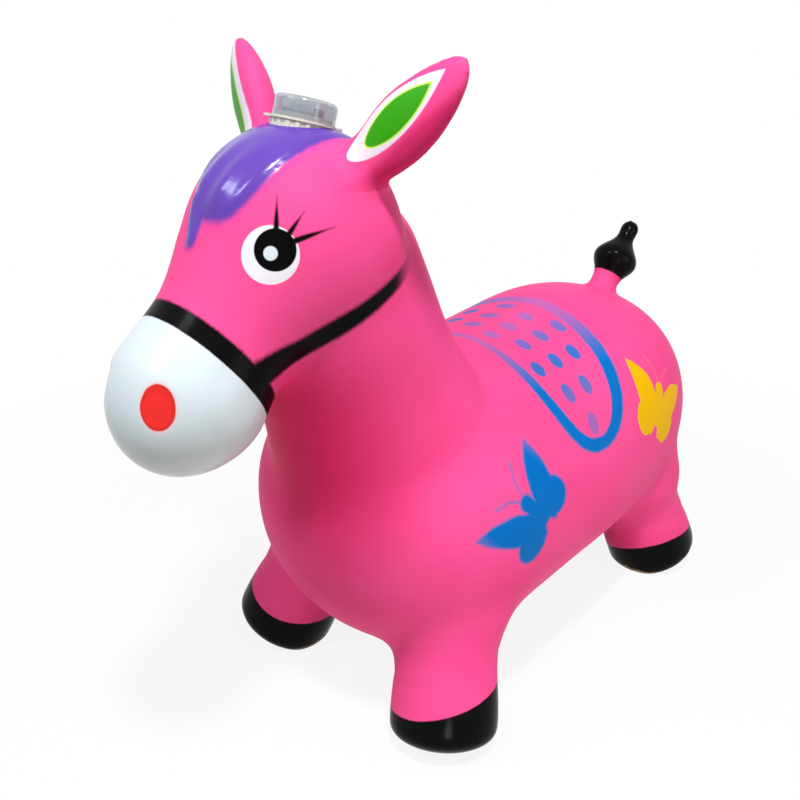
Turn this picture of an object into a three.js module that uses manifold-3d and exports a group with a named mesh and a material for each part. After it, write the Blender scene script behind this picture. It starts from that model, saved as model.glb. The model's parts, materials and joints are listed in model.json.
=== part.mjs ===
// Bouncy horse hopper: an inflated PVC horse that a child sits on and bounces, with a
// light-and-sound module pushed into a pocket in its crown and an air valve in its belly.
// Millimetres, +Z up, nose towards -Y, the horse's left side towards +X, soles on Z = 0.
// The skin is one hollow moulding. It is divided here where limbs meet and where the
// moulded paint colour changes, and its air space stays open from nose to tail.

import * as THREE from "three";
import { mergeVertices } from "three/addons/utils/BufferGeometryUtils.js";
import Module from "manifold-3d";

const wasm = await Module();
wasm.setup();

// Skin
const SKIN_WALL = 2.2;
const SEAM_GAP = 0.3;
const SOLE_THICKNESS = 4;

// Torso
const TORSO_LENGTH = 422;
const TORSO_CENTRE_Y = 64;
const TORSO_AXIS_Z = 154;
const CHEST_RISE = -6;
const RUMP_RISE = 13;
const CHEST_WIDTH = 244;
const WAIST_WIDTH = 240;
const RUMP_WIDTH = 226;
const CHEST_DEPTH = 220;
const WAIST_DEPTH = 214;
const RUMP_DEPTH = 228;
const CHEST_ROUNDING = 115;
const RUMP_ROUNDING = 144;
const TORSO_END_FULLNESS = 2.3;
const TORSO_SIDE_FULLNESS = 2.13;

// Neck
const NECK_BASE_Y = -46;
const NECK_BASE_Z = 160;
const NECK_TOP_Y = -142;
const NECK_TOP_Z = 396;
const NECK_BASE_WIDTH = 194;
const NECK_BASE_DEPTH = 179;
const THROAT_WIDTH = 135;
const THROAT_DEPTH = 140;
const NAPE_WIDTH = 116;
const NAPE_DEPTH = 140;
const NECK_BASE_ROUNDING = 44;
const NAPE_ROUNDING = 52;

// Head and muzzle
const OCCIPUT_Y = -84;
const OCCIPUT_Z = 391;
const BROW_Y = -172;
const BROW_Z = 378;
const NOSE_Y = -259;
const NOSE_Z = 260;
const SKULL_WIDTH = 134;
const SKULL_DEPTH = 143;
const BRIDGE_WIDTH = 93;
const BRIDGE_DEPTH = 86;
const MUZZLE_WIDTH = 98;
const MUZZLE_DEPTH = 95;
const SKULL_ROUNDING = 59;
const MUZZLE_ROUNDING = 56;
const MUZZLE_PAINT_LENGTH = 68;
const MUZZLE_PAINT_SLOPE = 33.5;
const NOSTRIL_WIDTH = 20;
const NOSTRIL_HEIGHT = 26;
const NOSTRIL_DEPTH = 1.2;
const NOSTRIL_SPACING = 54;
const NOSTRIL_RISE = 51;

// Forelock, measured over the forehead from the crown
const FORELOCK_WIDTH = 54;
const FORELOCK_LENGTH = 105;
const FORELOCK_BACK = 14;
const FORELOCK_RELIEF = 2.2;
const FORELOCK_CROWN_Y = -120;
const FORELOCK_CROWN_Z = 432;
const FORELOCK_SLOPE = 37;
const TIP_LOCK_WIDTH = 9;
const TIP_LOCK_LENGTH = 18;

// Ears
const EAR_LENGTH = 107;
const EAR_WIDTH = 41;
const EAR_DEPTH = 30;
const EAR_CUP = 0.5;
const EAR_THICKNESS = 0.84;
const EAR_ROOT_WIDTH = 28;
const EAR_TIP_WIDTH = 20;
const EAR_TIP_DEPTH = 15;
const EAR_ROOT_X = 31;
const EAR_ROOT_Y = -132;
const EAR_ROOT_Z = 411;
const EAR_SPREAD = 43.4;
const EAR_SWEEP = 18.7;
const EAR_BEND = 6;
const EAR_ROOT_ROUNDING = 20;
const EAR_TIP_ROUNDING = 28;

// Legs and hooves
const LEG_TOP_WIDTH = 104;
const SHANK_WIDTH = 76;
const HOOF_WIDTH = 80;
const HOOF_ROUNDING = 17;
const HOOF_TRIM = 4;
const FRONT_PAINT_HEIGHT = 38;
const FRONT_PAINT_TILT = 19;
const REAR_PAINT_HEIGHT = 29;
const REAR_PAINT_TILT = 23;
const LEG_TOP_ROUNDING = 30;
const LEG_TOP_Z = 137;
const FRONT_HOOF_X = 96;
const FRONT_HOOF_Y = -101;
const SHOULDER_X = 54;
const SHOULDER_Y = -48;
const REAR_HOOF_X = 83;
const REAR_HOOF_Y = 232;
const HIP_X = 48;
const HIP_Y = 186;

// Tail
const TAIL_ROOT_Y = 209;
const TAIL_ROOT_Z = 247;
const TAIL_LEAN = 40;
const TAIL_LENGTH = 86;
const TAIL_PAINT_LENGTH = 29;
const TAIL_STUB_WIDTH = 25;
const TUFT_WIDTH = 42;
const TUFT_NECK_WIDTH = 16;
const TUFT_KNOB_WIDTH = 18;
const TUFT_KNOB_ROUNDING = 9;

// Light and sound module
const FIT_CLEARANCE = 0.3;
const SEAT_GAP = 0.3;
const MODULE_Y = -131;
const MODULE_LEAN = 17;
const MODULE_TURN = 45;
const CUP_WALL = 1.3;
const CUP_FLOOR = 1.4;
const CUP_DEPTH = 15;
const COLLAR_HEIGHT = 7;
const COLLAR_SUNK = 5;
const COLLAR_WALL = 1.6;
const COLLAR_RIBS = 20;
const COLLAR_RIB_DEPTH = 0.6;
const FLANGE_THICKNESS = 1.4;
const FLANGE_LIP = 1.5;
const TAB_LENGTH = 3;
const TAB_WIDTH = 8;
const SPIGOT_HEIGHT = 3;
const CAP_WALL = 1.2;
const CAP_HEADROOM = 2.2;
const CAP_EDGE_RADIUS = 3;
const BOARD_THICKNESS = 1.2;
const BOARD_MARGIN = 2.8;
const CELL_COUNT = 3;
const CELL_DIAMETER = 7.9;
const CELL_HEIGHT = 3.6;
const CELL_STEP = 0.7;
const HOLDER_WALL = 1;
const HOLDER_FLOOR = 0.8;
const HOLDER_END_WIDTH = 6;
const HOLDER_SHIFT = 4;
const CONTACT_SPRING_LENGTH = 2.4;
const CONTACT_SPRING_DIAMETER = 6;
const CONTACT_SPRING_TURNS = 2;
const CONTACT_WIRE = 0.4;
const CONTACT_PLATE_WIDTH = 4.6;
const CONTACT_PLATE_THICKNESS = 0.4;
const SOUND_BOARD_LENGTH = 11;
const SOUND_BOARD_HEIGHT = 8;
const SOUND_BOARD_THICKNESS = 1.2;
const SOUND_BOARD_TURN = 62;
const CHIP_DIAMETER = 6;
const CHIP_HEIGHT = 1.5;
const LED_DIAMETER = 3;
const LED_HEIGHT = 5.2;
const LED_SPACING = 9;
const SHAKE_SPRING_DIAMETER = 4.2;
const SHAKE_SPRING_TURNS = 6;
const SHAKE_SPRING_PITCH = 1.1;
const SHAKE_WIRE = 0.4;
const SHAKE_PIN_DIAMETER = 1;
const SCREW_DIAMETER = 2;
const SCREW_HEAD_DIAMETER = 3.8;
const SCREW_HEAD_HEIGHT = 1.3;
const SCREW_LENGTH = 6;
const BOSS_DIAMETER = 4.6;
const SPEAKER_HEIGHT = 5;
const MAGNET_DIAMETER = 11;
const MAGNET_HEIGHT = 2.4;
const SPEAKER_RIM = 1.2;
const SPEAKER_SHEET = 0.6;

// Air valve
const VALVE_Y = 60;
const PLUG_SHANK_DIAMETER = 7.6;
const PLUG_SHANK_LENGTH = 15;
const PLUG_RIB_COUNT = 3;
const PLUG_RIB_HEIGHT = 0.5;
const PLUG_RIB_PITCH = 3;
const PLUG_HEAD_DIAMETER = 17;
const PLUG_HEAD_THICKNESS = 2.6;
const PLUG_RECESS = 0.8;
const VALVE_BOSS_WALL = 3;
const VALVE_BOSS_HEIGHT = 13;

// Facets
const TORSO_SIDES = 30;
const TORSO_RINGS = 18;
const HEAD_SIDES = 26;
const HEAD_RINGS = 20;
const NECK_RINGS = 10;
const LEG_SIDES = 20;
const LEG_RINGS = 12;
const EAR_SIDES = 18;
const EAR_RINGS = 12;
const TAIL_SIDES = 16;
const TAIL_RINGS = 14;
const CUP_SIDES = 32;
const SMALL_SIDES = 14;
const INNER_COARSER = 1.5;
const WIRE_SIDES = 5;
const CURL_STEPS = 8;
const MERGE_TOLERANCE = 1e-4;

const X_AXIS = new THREE.Vector3(1, 0, 0);
const Y_AXIS = new THREE.Vector3(0, 1, 0);
const Z_AXIS = new THREE.Vector3(0, 0, 1);
const DOWN = new THREE.Vector3(0, 0, -1);
const FAR = 2000;
const radians = THREE.MathUtils.degToRad;
const midPlane = (y, z) => new THREE.Vector3(0, y, z);

// Merges the coinciding points of a body, drops what that collapses and turns it outward
function closed(geometry) {
  const bare = geometry.clone();
  bare.deleteAttribute("normal");
  bare.deleteAttribute("uv");
  bare.clearGroups();
  const merged = mergeVertices(bare, MERGE_TOLERANCE);
  const places = merged.attributes.position;
  const [a, b, c] = [0, 1, 2].map(() => new THREE.Vector3());
  const kept = [];
  let volume = 0;
  for (let at = 0; at < merged.index.count; at += 3) {
    const [i, j, k] = [0, 1, 2].map((corner) => merged.index.getX(at + corner));
    if (i !== j && j !== k && k !== i) {
      kept.push([i, j, k]);
      a.fromBufferAttribute(places, i);
      b.fromBufferAttribute(places, j);
      c.fromBufferAttribute(places, k);
      volume += a.dot(b.cross(c));
    }
  }
  merged.setIndex(kept.flatMap(([i, j, k]) => (volume > 0 ? [i, j, k] : [i, k, j])));
  merged.computeVertexNormals();
  return merged;
}

// A solid to cut and join, from a closed geometry, and back again
function solidOf(geometry) {
  const body = closed(geometry);
  return new wasm.Manifold(
    new wasm.Mesh({
      numProp: 3,
      vertProperties: new Float32Array(body.attributes.position.array),
      triVerts: new Uint32Array(body.index.array),
    }),
  );
}

function geometryOf(solid) {
  const mesh = solid.getMesh();
  const geometry = new THREE.BufferGeometry();
  geometry.setAttribute("position", new THREE.BufferAttribute(mesh.vertProperties, 3));
  geometry.setIndex(new THREE.BufferAttribute(mesh.triVerts, 1));
  geometry.computeVertexNormals();
  return geometry;
}

// The half of space beyond a plane, as a block larger than the toy
function halfSpace(point, normal) {
  const block = new THREE.BoxGeometry(FAR, FAR, FAR).translate(0, 0, FAR / 2);
  const turn = new THREE.Quaternion().setFromUnitVectors(Z_AXIS, normal);
  return solidOf(block.applyQuaternion(turn).translate(point.x, point.y, point.z));
}

// A body of revolution about Z, from radius and height pairs
function revolve(pairs, sides = SMALL_SIDES) {
  const outline = pairs.map(([radius, height]) => new THREE.Vector2(radius, height));
  return closed(new THREE.LatheGeometry(outline, sides).rotateX(Math.PI / 2));
}

const cylinder = (radius, low, high, sides = SMALL_SIDES) =>
  revolve([[0, low], [radius, low], [radius, high], [0, high]], sides);

// A flat outline made thick from one height to another
function plate(shape, low, high, curveSegments = 6) {
  const depth = high - low;
  const options = { depth, bevelEnabled: false, curveSegments };
  return closed(new THREE.ExtrudeGeometry(shape, options).translate(0, 0, low));
}

// A value that eases from station to station along a length of 0 to 1
function profile(...stations) {
  return (place) => {
    const next = stations.findIndex(([at]) => at > place);
    if (next < 0) {
      return stations.at(-1)[1];
    }
    const [[from, low], [to, high]] = stations.slice(next - 1, next + 1);
    return THREE.MathUtils.lerp(low, high, THREE.MathUtils.smoothstep(place, from, to));
  };
}

// How far a rounded end has opened at a distance from its tip
function roundedEnd(distance, length, fullness) {
  const rest = THREE.MathUtils.clamp(1 - distance / length, 0, 1);
  return (1 - rest ** fullness) ** (1 / fullness);
}

// A section between an ellipse, at 2, and a box
function superellipse(angle, fullness) {
  const [u, v] = [Math.cos(angle), Math.sin(angle)];
  const scale = (Math.abs(u) ** fullness + Math.abs(v) ** fullness) ** (-1 / fullness);
  return [u * scale, v * scale];
}

// A closed body swept along a spine, its width and depth set along the way.
// offset moves the whole surface out, or in where it is negative.
function loft(form, offset = 0, coarser = 1) {
  const { spine, width, depth, side, startRound, endRound } = form;
  const { endFullness = 2, section = (angle) => superellipse(angle, 2) } = form;
  const sides = Math.round(form.sides / coarser);
  const rings = Math.round(form.rings / coarser);
  const length = spine.getLength();
  const reach = length + 2 * offset;
  const points = [];
  for (let ring = 0; ring <= rings; ring += 1) {
    const travelled = (reach * (1 - Math.cos((Math.PI * ring) / rings))) / 2;
    const place = THREE.MathUtils.clamp((travelled - offset) / length, 0, 1);
    const along = spine.getTangentAt(place);
    const centre = spine.getPointAt(place);
    centre.addScaledVector(along, travelled - offset - place * length);
    const across = side.clone().addScaledVector(along, -side.dot(along)).normalize();
    const normal = across.clone().cross(along);
    const opened =
      roundedEnd(travelled, startRound + offset, endFullness) *
      roundedEnd(reach - travelled, endRound + offset, endFullness);
    const halfWidth = (width(place) / 2 + offset) * opened;
    const halfDepth = (depth(place) / 2 + offset) * opened;
    for (let step = 0; step < sides; step += 1) {
      const [u, v] = section((2 * Math.PI * step) / sides);
      const point = centre.clone().addScaledVector(across, u * halfWidth);
      points.push(point.addScaledVector(normal, v * halfDepth));
    }
  }
  const index = [];
  for (let ring = 0; ring < rings; ring += 1) {
    for (let step = 0; step < sides; step += 1) {
      const low = ring * sides + step;
      const lowNext = ring * sides + ((step + 1) % sides);
      index.push(low, low + sides, lowNext, lowNext, low + sides, lowNext + sides);
    }
  }
  return closed(new THREE.BufferGeometry().setFromPoints(points).setIndex(index));
}

// Where a ray first meets a surface
function surfaceHit(geometry, origin, direction) {
  const target = new THREE.Mesh(geometry, new THREE.MeshBasicMaterial());
  return new THREE.Raycaster(origin, direction).intersectObject(target)[0];
}

// Forms of the skin

const torsoForm = {
  spine: new THREE.QuadraticBezierCurve3(
    midPlane(TORSO_CENTRE_Y - TORSO_LENGTH / 2, TORSO_AXIS_Z + CHEST_RISE),
    midPlane(TORSO_CENTRE_Y, TORSO_AXIS_Z),
    midPlane(TORSO_CENTRE_Y + TORSO_LENGTH / 2, TORSO_AXIS_Z + RUMP_RISE),
  ),
  width: profile([0, CHEST_WIDTH], [0.25, CHEST_WIDTH], [0.5, WAIST_WIDTH], [0.75, RUMP_WIDTH]),
  depth: profile([0, CHEST_DEPTH], [0.25, CHEST_DEPTH], [0.5, WAIST_DEPTH], [0.75, RUMP_DEPTH]),
  side: X_AXIS,
  startRound: CHEST_ROUNDING,
  endRound: RUMP_ROUNDING,
  endFullness: TORSO_END_FULLNESS,
  section: (angle) => superellipse(angle, TORSO_SIDE_FULLNESS),
  sides: TORSO_SIDES,
  rings: TORSO_RINGS,
};

const neckForm = {
  spine: new THREE.LineCurve3(midPlane(NECK_BASE_Y, NECK_BASE_Z), midPlane(NECK_TOP_Y, NECK_TOP_Z)),
  width: profile([0, NECK_BASE_WIDTH], [0.6, THROAT_WIDTH], [1, NAPE_WIDTH]),
  depth: profile([0, NECK_BASE_DEPTH], [0.6, THROAT_DEPTH], [1, NAPE_DEPTH]),
  side: X_AXIS,
  startRound: NECK_BASE_ROUNDING,
  endRound: NAPE_ROUNDING,
  sides: HEAD_SIDES,
  rings: NECK_RINGS,
};

const headForm = {
  spine: new THREE.QuadraticBezierCurve3(
    midPlane(OCCIPUT_Y, OCCIPUT_Z),
    midPlane(BROW_Y, BROW_Z),
    midPlane(NOSE_Y, NOSE_Z),
  ),
  width: profile([0, SKULL_WIDTH], [0.27, SKULL_WIDTH], [0.62, BRIDGE_WIDTH], [0.8, MUZZLE_WIDTH]),
  depth: profile([0, SKULL_DEPTH], [0.27, SKULL_DEPTH], [0.62, BRIDGE_DEPTH], [0.8, MUZZLE_DEPTH]),
  side: X_AXIS,
  startRound: SKULL_ROUNDING,
  endRound: MUZZLE_ROUNDING,
  sides: HEAD_SIDES,
  rings: HEAD_RINGS,
};

const tailAxis = midPlane(Math.sin(radians(TAIL_LEAN)), Math.cos(radians(TAIL_LEAN)));
const tailRoot = midPlane(TAIL_ROOT_Y, TAIL_ROOT_Z);
const tailProfile = profile(
  [0, TAIL_STUB_WIDTH],
  [0.3, TAIL_STUB_WIDTH],
  [0.52, TUFT_WIDTH],
  [0.8, TUFT_NECK_WIDTH],
  [0.9, TUFT_KNOB_WIDTH],
);
const tailForm = {
  spine: new THREE.LineCurve3(tailRoot, tailRoot.clone().addScaledVector(tailAxis, TAIL_LENGTH)),
  width: tailProfile,
  depth: tailProfile,
  side: X_AXIS,
  startRound: TUFT_KNOB_ROUNDING,
  endRound: TUFT_KNOB_ROUNDING,
  sides: TAIL_SIDES,
  rings: TAIL_RINGS,
};

function legForm(top, hoof) {
  const swell = profile([0, LEG_TOP_WIDTH], [0.5, SHANK_WIDTH], [0.82, HOOF_WIDTH]);
  return {
    spine: new THREE.LineCurve3(top, hoof),
    width: swell,
    depth: swell,
    side: X_AXIS,
    startRound: LEG_TOP_ROUNDING,
    endRound: HOOF_ROUNDING,
    sides: LEG_SIDES,
    rings: LEG_RINGS,
  };
}

// The ear is a thick leaf bent into a cup, its rims forward and its back round
function earSection(angle) {
  const across = Math.cos(angle);
  return [across, EAR_THICKNESS * Math.sin(angle) + EAR_CUP * (across ** 2 - 0.5)];
}

function earForm(handed) {
  const root = new THREE.Vector3(handed * EAR_ROOT_X, EAR_ROOT_Y, EAR_ROOT_Z);
  const lean = new THREE.Vector3(
    handed * Math.sin(radians(EAR_SPREAD)),
    Math.sin(radians(EAR_SWEEP)),
    Math.cos(radians(EAR_SPREAD)),
  ).normalize();
  const side = new THREE.Vector3(1, 0, handed * -0.8).normalize();
  const middle = root.clone().addScaledVector(lean, EAR_LENGTH / 2).addScaledVector(side, handed * EAR_BEND);
  const tip = root.clone().addScaledVector(lean, EAR_LENGTH);
  return {
    spine: new THREE.QuadraticBezierCurve3(root, middle, tip),
    width: profile([0, EAR_ROOT_WIDTH], [0.5, EAR_WIDTH], [1, EAR_TIP_WIDTH]),
    depth: profile([0, EAR_DEPTH], [0.5, EAR_DEPTH], [1, EAR_TIP_DEPTH]),
    side,
    startRound: EAR_ROOT_ROUNDING,
    endRound: EAR_TIP_ROUNDING,
    sides: EAR_SIDES,
    rings: EAR_RINGS,
    section: earSection,
  };
}

const inner = (form) => solidOf(loft(form, -SKIN_WALL, INNER_COARSER));
const grown = (form) => solidOf(loft(form, SEAM_GAP));
const torsoOuter = loft(torsoForm);
const headOuter = loft(headForm);
const torsoGrown = grown(torsoForm);
const headGrown = grown(headForm);
const neckGrown = grown(neckForm);
const neckInner = inner(neckForm);

// Module layout, in the module's own frame: Z along its axis, zero on the flange

const stackLength =
  CELL_COUNT * CELL_HEIGHT + (CELL_COUNT + 3) * SEAT_GAP + CONTACT_SPRING_LENGTH + CONTACT_PLATE_THICKNESS;
const holderHalf = stackLength / 2 + HOLDER_WALL;
const holderSide = CELL_DIAMETER / 2 + FIT_CLEARANCE + HOLDER_WALL;
const boardRadius = Math.hypot(holderHalf + HOLDER_SHIFT, HOLDER_END_WIDTH / 2) + BOARD_MARGIN;
const cupBore = boardRadius + FIT_CLEARANCE;
const cupRadius = cupBore + CUP_WALL;
const collarRadius = cupRadius + COLLAR_WALL;
const collarTip = collarRadius + COLLAR_RIB_DEPTH;
const capBore = cupRadius + FIT_CLEARANCE;
const capRadius = capBore + CAP_WALL;
const flangeRadius = capRadius + FLANGE_LIP;
const cupBottom = -CUP_DEPTH - CUP_FLOOR;
const collarBottom = -FLANGE_THICKNESS - COLLAR_HEIGHT;
const boardBottom = -BOARD_THICKNESS;
const cellAxisZ = SEAT_GAP + HOLDER_FLOOR + FIT_CLEARANCE + CELL_DIAMETER / 2;
const capCeiling = cellAxisZ + CELL_DIAMETER / 2 + CAP_HEADROOM;
const screwCircle = boardRadius - SCREW_HEAD_DIAMETER / 2 - SEAT_GAP;
const speakerRadius = screwCircle - BOSS_DIAMETER / 2 - FIT_CLEARANCE;
const screwHole = SCREW_DIAMETER / 2 + FIT_CLEARANCE;
const screwEnd = boardBottom - SCREW_LENGTH;
const stackStart = -HOLDER_SHIFT - stackLength / 2;
const stackEnd = -HOLDER_SHIFT + stackLength / 2;
const firstCell = stackStart + CONTACT_SPRING_LENGTH + 2 * SEAT_GAP;

// The module stands on the crown, leaning back, with its collar let into the skin
const moduleAxis = midPlane(Math.sin(radians(MODULE_LEAN)), Math.cos(radians(MODULE_LEAN)));
const crownStart = midPlane(MODULE_Y, FAR);
const crown = surfaceHit(headOuter, crownStart, DOWN).point;
const modulePlace = new THREE.Group();
modulePlace.position
  .copy(crown)
  .addScaledVector(moduleAxis, FLANGE_THICKNESS + COLLAR_HEIGHT - COLLAR_SUNK);
modulePlace.rotation.x = -radians(MODULE_LEAN);
const moduleTurn = new THREE.Group();
moduleTurn.rotation.z = radians(MODULE_TURN);
modulePlace.add(moduleTurn);
modulePlace.updateMatrixWorld(true);
const onCrown = (geometry) => solidOf(geometry.applyMatrix4(modulePlace.matrixWorld));

// Air valve layout: zero on the belly's skin, Z up into the body
const belly = surfaceHit(torsoOuter, midPlane(VALVE_Y, -FAR), Z_AXIS).point;
const valvePlace = new THREE.Group();
valvePlace.position.copy(belly);
valvePlace.updateMatrixWorld(true);
const onBelly = (geometry) => solidOf(geometry.applyMatrix4(valvePlace.matrixWorld));
const plugRibRadius = PLUG_SHANK_DIAMETER / 2 + PLUG_RIB_HEIGHT;
const plugHeadBore = PLUG_HEAD_DIAMETER / 2 + FIT_CLEARANCE;
const plugUnderside = PLUG_RECESS + PLUG_HEAD_THICKNESS;
const valveSeat = plugUnderside + SEAT_GAP;
const valveBore = plugRibRadius + FIT_CLEARANCE;
const valveTop = valveSeat + VALVE_BOSS_HEIGHT;

// Legs, each a hollow limb with a flat sole
const legs = [];
for (const [handedName, handed] of [["left", 1], ["right", -1]]) {
  for (const [end, hoofX, hoofY, topX, topY, paintHeight, tilt] of [
    ["front", FRONT_HOOF_X, FRONT_HOOF_Y, SHOULDER_X, SHOULDER_Y, FRONT_PAINT_HEIGHT, FRONT_PAINT_TILT],
    ["rear", REAR_HOOF_X, REAR_HOOF_Y, HIP_X, HIP_Y, REAR_PAINT_HEIGHT, REAR_PAINT_TILT],
  ]) {
    const form = legForm(
      new THREE.Vector3(handed * topX, topY, LEG_TOP_Z),
      new THREE.Vector3(handed * hoofX, hoofY, -HOOF_TRIM),
    );
    const hollow = inner(form).intersect(halfSpace(midPlane(0, SOLE_THICKNESS), Z_AXIS));
    const paintLine = new THREE.Vector3(handed * hoofX, hoofY, paintHeight);
    const paintTilt = radians(tilt);
    legs.push({ name: `${end}_${handedName}`, handed, form, hollow, paintLine, paintTilt });
  }
}

// Divides a body at a plane, leaving the seam gap between the two halves
function divide(solid, point, normal) {
  const beyond = halfSpace(point, normal);
  const withGap = halfSpace(point.clone().addScaledVector(normal, -SEAM_GAP), normal);
  return [solid.intersect(beyond), solid.subtract(withGap)];
}

function legSkins({ handed, form, hollow, paintLine, paintTilt }) {
  const aboveGround = halfSpace(midPlane(0, 0), Z_AXIS);
  const limb = solidOf(loft(form)).intersect(aboveGround).subtract(torsoGrown).subtract(hollow);
  const up = new THREE.Vector3(-handed * Math.sin(paintTilt), 0, Math.cos(paintTilt));
  return divide(limb, paintLine, up).map(geometryOf);
}

function torsoSkin() {
  const outer = solidOf(torsoOuter);
  const boss = onBelly(cylinder(plugHeadBore + VALVE_BOSS_WALL, -valveTop, valveTop));
  const hole = revolve([
    [0, -valveTop],
    [plugHeadBore, -valveTop],
    [plugHeadBore, valveSeat],
    [valveBore, valveSeat],
    [valveBore, 2 * valveTop],
    [0, 2 * valveTop],
  ]);
  const hollows = legs.map((leg) => leg.hollow).concat(neckInner);
  const shell = outer.subtract(inner(torsoForm)).add(boss.intersect(outer)).subtract(onBelly(hole));
  return geometryOf(hollows.reduce((skin, hollow) => skin.subtract(hollow), shell));
}

function neckSkin() {
  const neck = solidOf(loft(neckForm)).subtract(neckInner);
  return geometryOf(neck.subtract(torsoGrown).subtract(headGrown));
}

// The blind pocket that the module is pushed into, or the wall around it
function pocket(wall) {
  const cup = cupRadius + FIT_CLEARANCE + wall;
  const collar = collarTip + FIT_CLEARANCE + wall;
  const floor = cupBottom - SEAT_GAP - wall;
  const step = collarBottom - SEAT_GAP - wall;
  const ledge = -FLANGE_THICKNESS - SEAT_GAP - wall;
  const tabs = flangeRadius + TAB_LENGTH + FIT_CLEARANCE + wall;
  const outline = [[0, floor], [cup, floor], [cup, step], [collar, step], [collar, ledge], [tabs, ledge]];
  return onCrown(revolve([...outline, [tabs, SKULL_ROUNDING], [0, SKULL_ROUNDING]], CUP_SIDES));
}

// A shallow oval sunk evenly into the front of the muzzle
function nostril(handed, sunk) {
  const start = new THREE.Vector3((handed * NOSTRIL_SPACING) / 2, -FAR, NOSE_Z + NOSTRIL_RISE);
  const { point, face } = surfaceHit(headOuter, start, Y_AXIS);
  const place = new THREE.Object3D();
  place.up.copy(Z_AXIS);
  place.position.copy(point);
  place.lookAt(point.clone().add(face.normal));
  place.updateMatrix();
  const oval = new THREE.Shape().absellipse(0, 0, NOSTRIL_WIDTH / 2, NOSTRIL_HEIGHT / 2, 0, 2 * Math.PI);
  const column = plate(oval, -NOSTRIL_WIDTH, NOSTRIL_WIDTH, 12).applyMatrix4(place.matrix);
  return solidOf(column).subtract(sunk);
}

function headSkins() {
  const outer = solidOf(headOuter);
  const hollow = outer.subtract(inner(headForm)).subtract(neckInner);
  const shell = hollow.add(pocket(SKIN_WALL).intersect(outer)).subtract(pocket(0));
  const paintPlace = 1 - MUZZLE_PAINT_LENGTH / headForm.spine.getLength();
  const slope = radians(MUZZLE_PAINT_SLOPE);
  const forward = midPlane(-Math.cos(slope), -Math.sin(slope));
  const [muzzle, head] = divide(shell, headForm.spine.getPointAt(paintPlace), forward);
  const sunk = solidOf(loft(headForm, -NOSTRIL_DEPTH));
  const nostrils = nostril(1, sunk).add(nostril(-1, sunk));
  return [head, muzzle.subtract(nostrils)].map(geometryOf);
}

// The forelock's outline on the forehead, from its back to its hanging tip lock
function forelockOutline() {
  const half = FORELOCK_WIDTH / 2;
  const lock = TIP_LOCK_WIDTH / 2;
  const shoulder = TIP_LOCK_LENGTH - FORELOCK_LENGTH;
  const outline = new THREE.Shape();
  outline.moveTo(-half * 0.6, FORELOCK_BACK);
  outline.lineTo(half * 0.6, FORELOCK_BACK);
  outline.quadraticCurveTo(half, FORELOCK_BACK * 0.6, half * 1.06, -FORELOCK_BACK);
  outline.bezierCurveTo(half, shoulder * 0.45, half * 0.9, shoulder * 0.5, half * 0.92, shoulder * 0.72);
  outline.quadraticCurveTo(half * 0.75, shoulder, lock, shoulder);
  outline.quadraticCurveTo(lock, -FORELOCK_LENGTH * 0.94, -lock, -FORELOCK_LENGTH);
  outline.quadraticCurveTo(-lock * 1.8, -FORELOCK_LENGTH, -lock * 2, shoulder - lock);
  outline.quadraticCurveTo(-half * 0.75, shoulder, -half * 0.9, shoulder * 0.72);
  outline.bezierCurveTo(-half * 0.9, shoulder * 0.5, -half, shoulder * 0.45, -half * 1.06, -FORELOCK_BACK);
  outline.quadraticCurveTo(-half, FORELOCK_BACK * 0.6, -half * 0.6, FORELOCK_BACK);
  return outline;
}

function forelock() {
  const column = plate(forelockOutline(), -FORELOCK_WIDTH / 2, FORELOCK_WIDTH);
  column.rotateX(radians(FORELOCK_SLOPE)).translate(0, FORELOCK_CROWN_Y, FORELOCK_CROWN_Z);
  const raised = solidOf(loft(headForm, FORELOCK_RELIEF)).intersect(solidOf(column));
  const clear = raised.subtract(headGrown).subtract(pocket(0));
  return geometryOf(clear.subtract(grown(earForm(1))).subtract(grown(earForm(-1))));
}

const ear = (handed) =>
  geometryOf(solidOf(loft(earForm(handed))).subtract(headGrown).subtract(neckGrown));

function tailSkins() {
  const tail = solidOf(loft(tailForm)).subtract(torsoGrown);
  const line = tailRoot.clone().addScaledVector(tailAxis, TAIL_PAINT_LENGTH);
  return divide(tail, line, tailAxis).map(geometryOf);
}

// Pieces of the module

// A wire wound about Z, its coil radius easing from one end to the other
class Coil extends THREE.Curve {
  constructor(startRadius, endRadius, turns, height) {
    super();
    Object.assign(this, { startRadius, endRadius, turns, height });
  }

  getPoint(place, target = new THREE.Vector3()) {
    const angle = 2 * Math.PI * this.turns * place;
    const radius = THREE.MathUtils.lerp(this.startRadius, this.endRadius, place);
    return target.set(radius * Math.cos(angle), radius * Math.sin(angle), this.height * place);
  }
}

// The tube of a coil, with the least gap between its turns measured and printed
function wound(name, coil, wire) {
  const steps = Math.round(coil.turns * CURL_STEPS);
  const points = coil.getSpacedPoints(steps);
  let least = Infinity;
  points.forEach((point, at) => {
    for (const other of points.slice(at + CURL_STEPS / 2)) {
      least = Math.min(least, point.distanceTo(other) - wire);
    }
  });
  console.log(`${name}: least gap to itself ${least.toFixed(2)} mm`);
  const corners = Array.from({ length: WIRE_SIDES }, (_, corner) => (2 * Math.PI * corner) / WIRE_SIDES);
  const round = new THREE.Shape(
    corners.map((angle) => new THREE.Vector2(Math.cos(angle), Math.sin(angle)).multiplyScalar(wire / 2)),
  );
  const options = { steps, extrudePath: coil };
  return closed(new THREE.ExtrudeGeometry(round, options));
}

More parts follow.
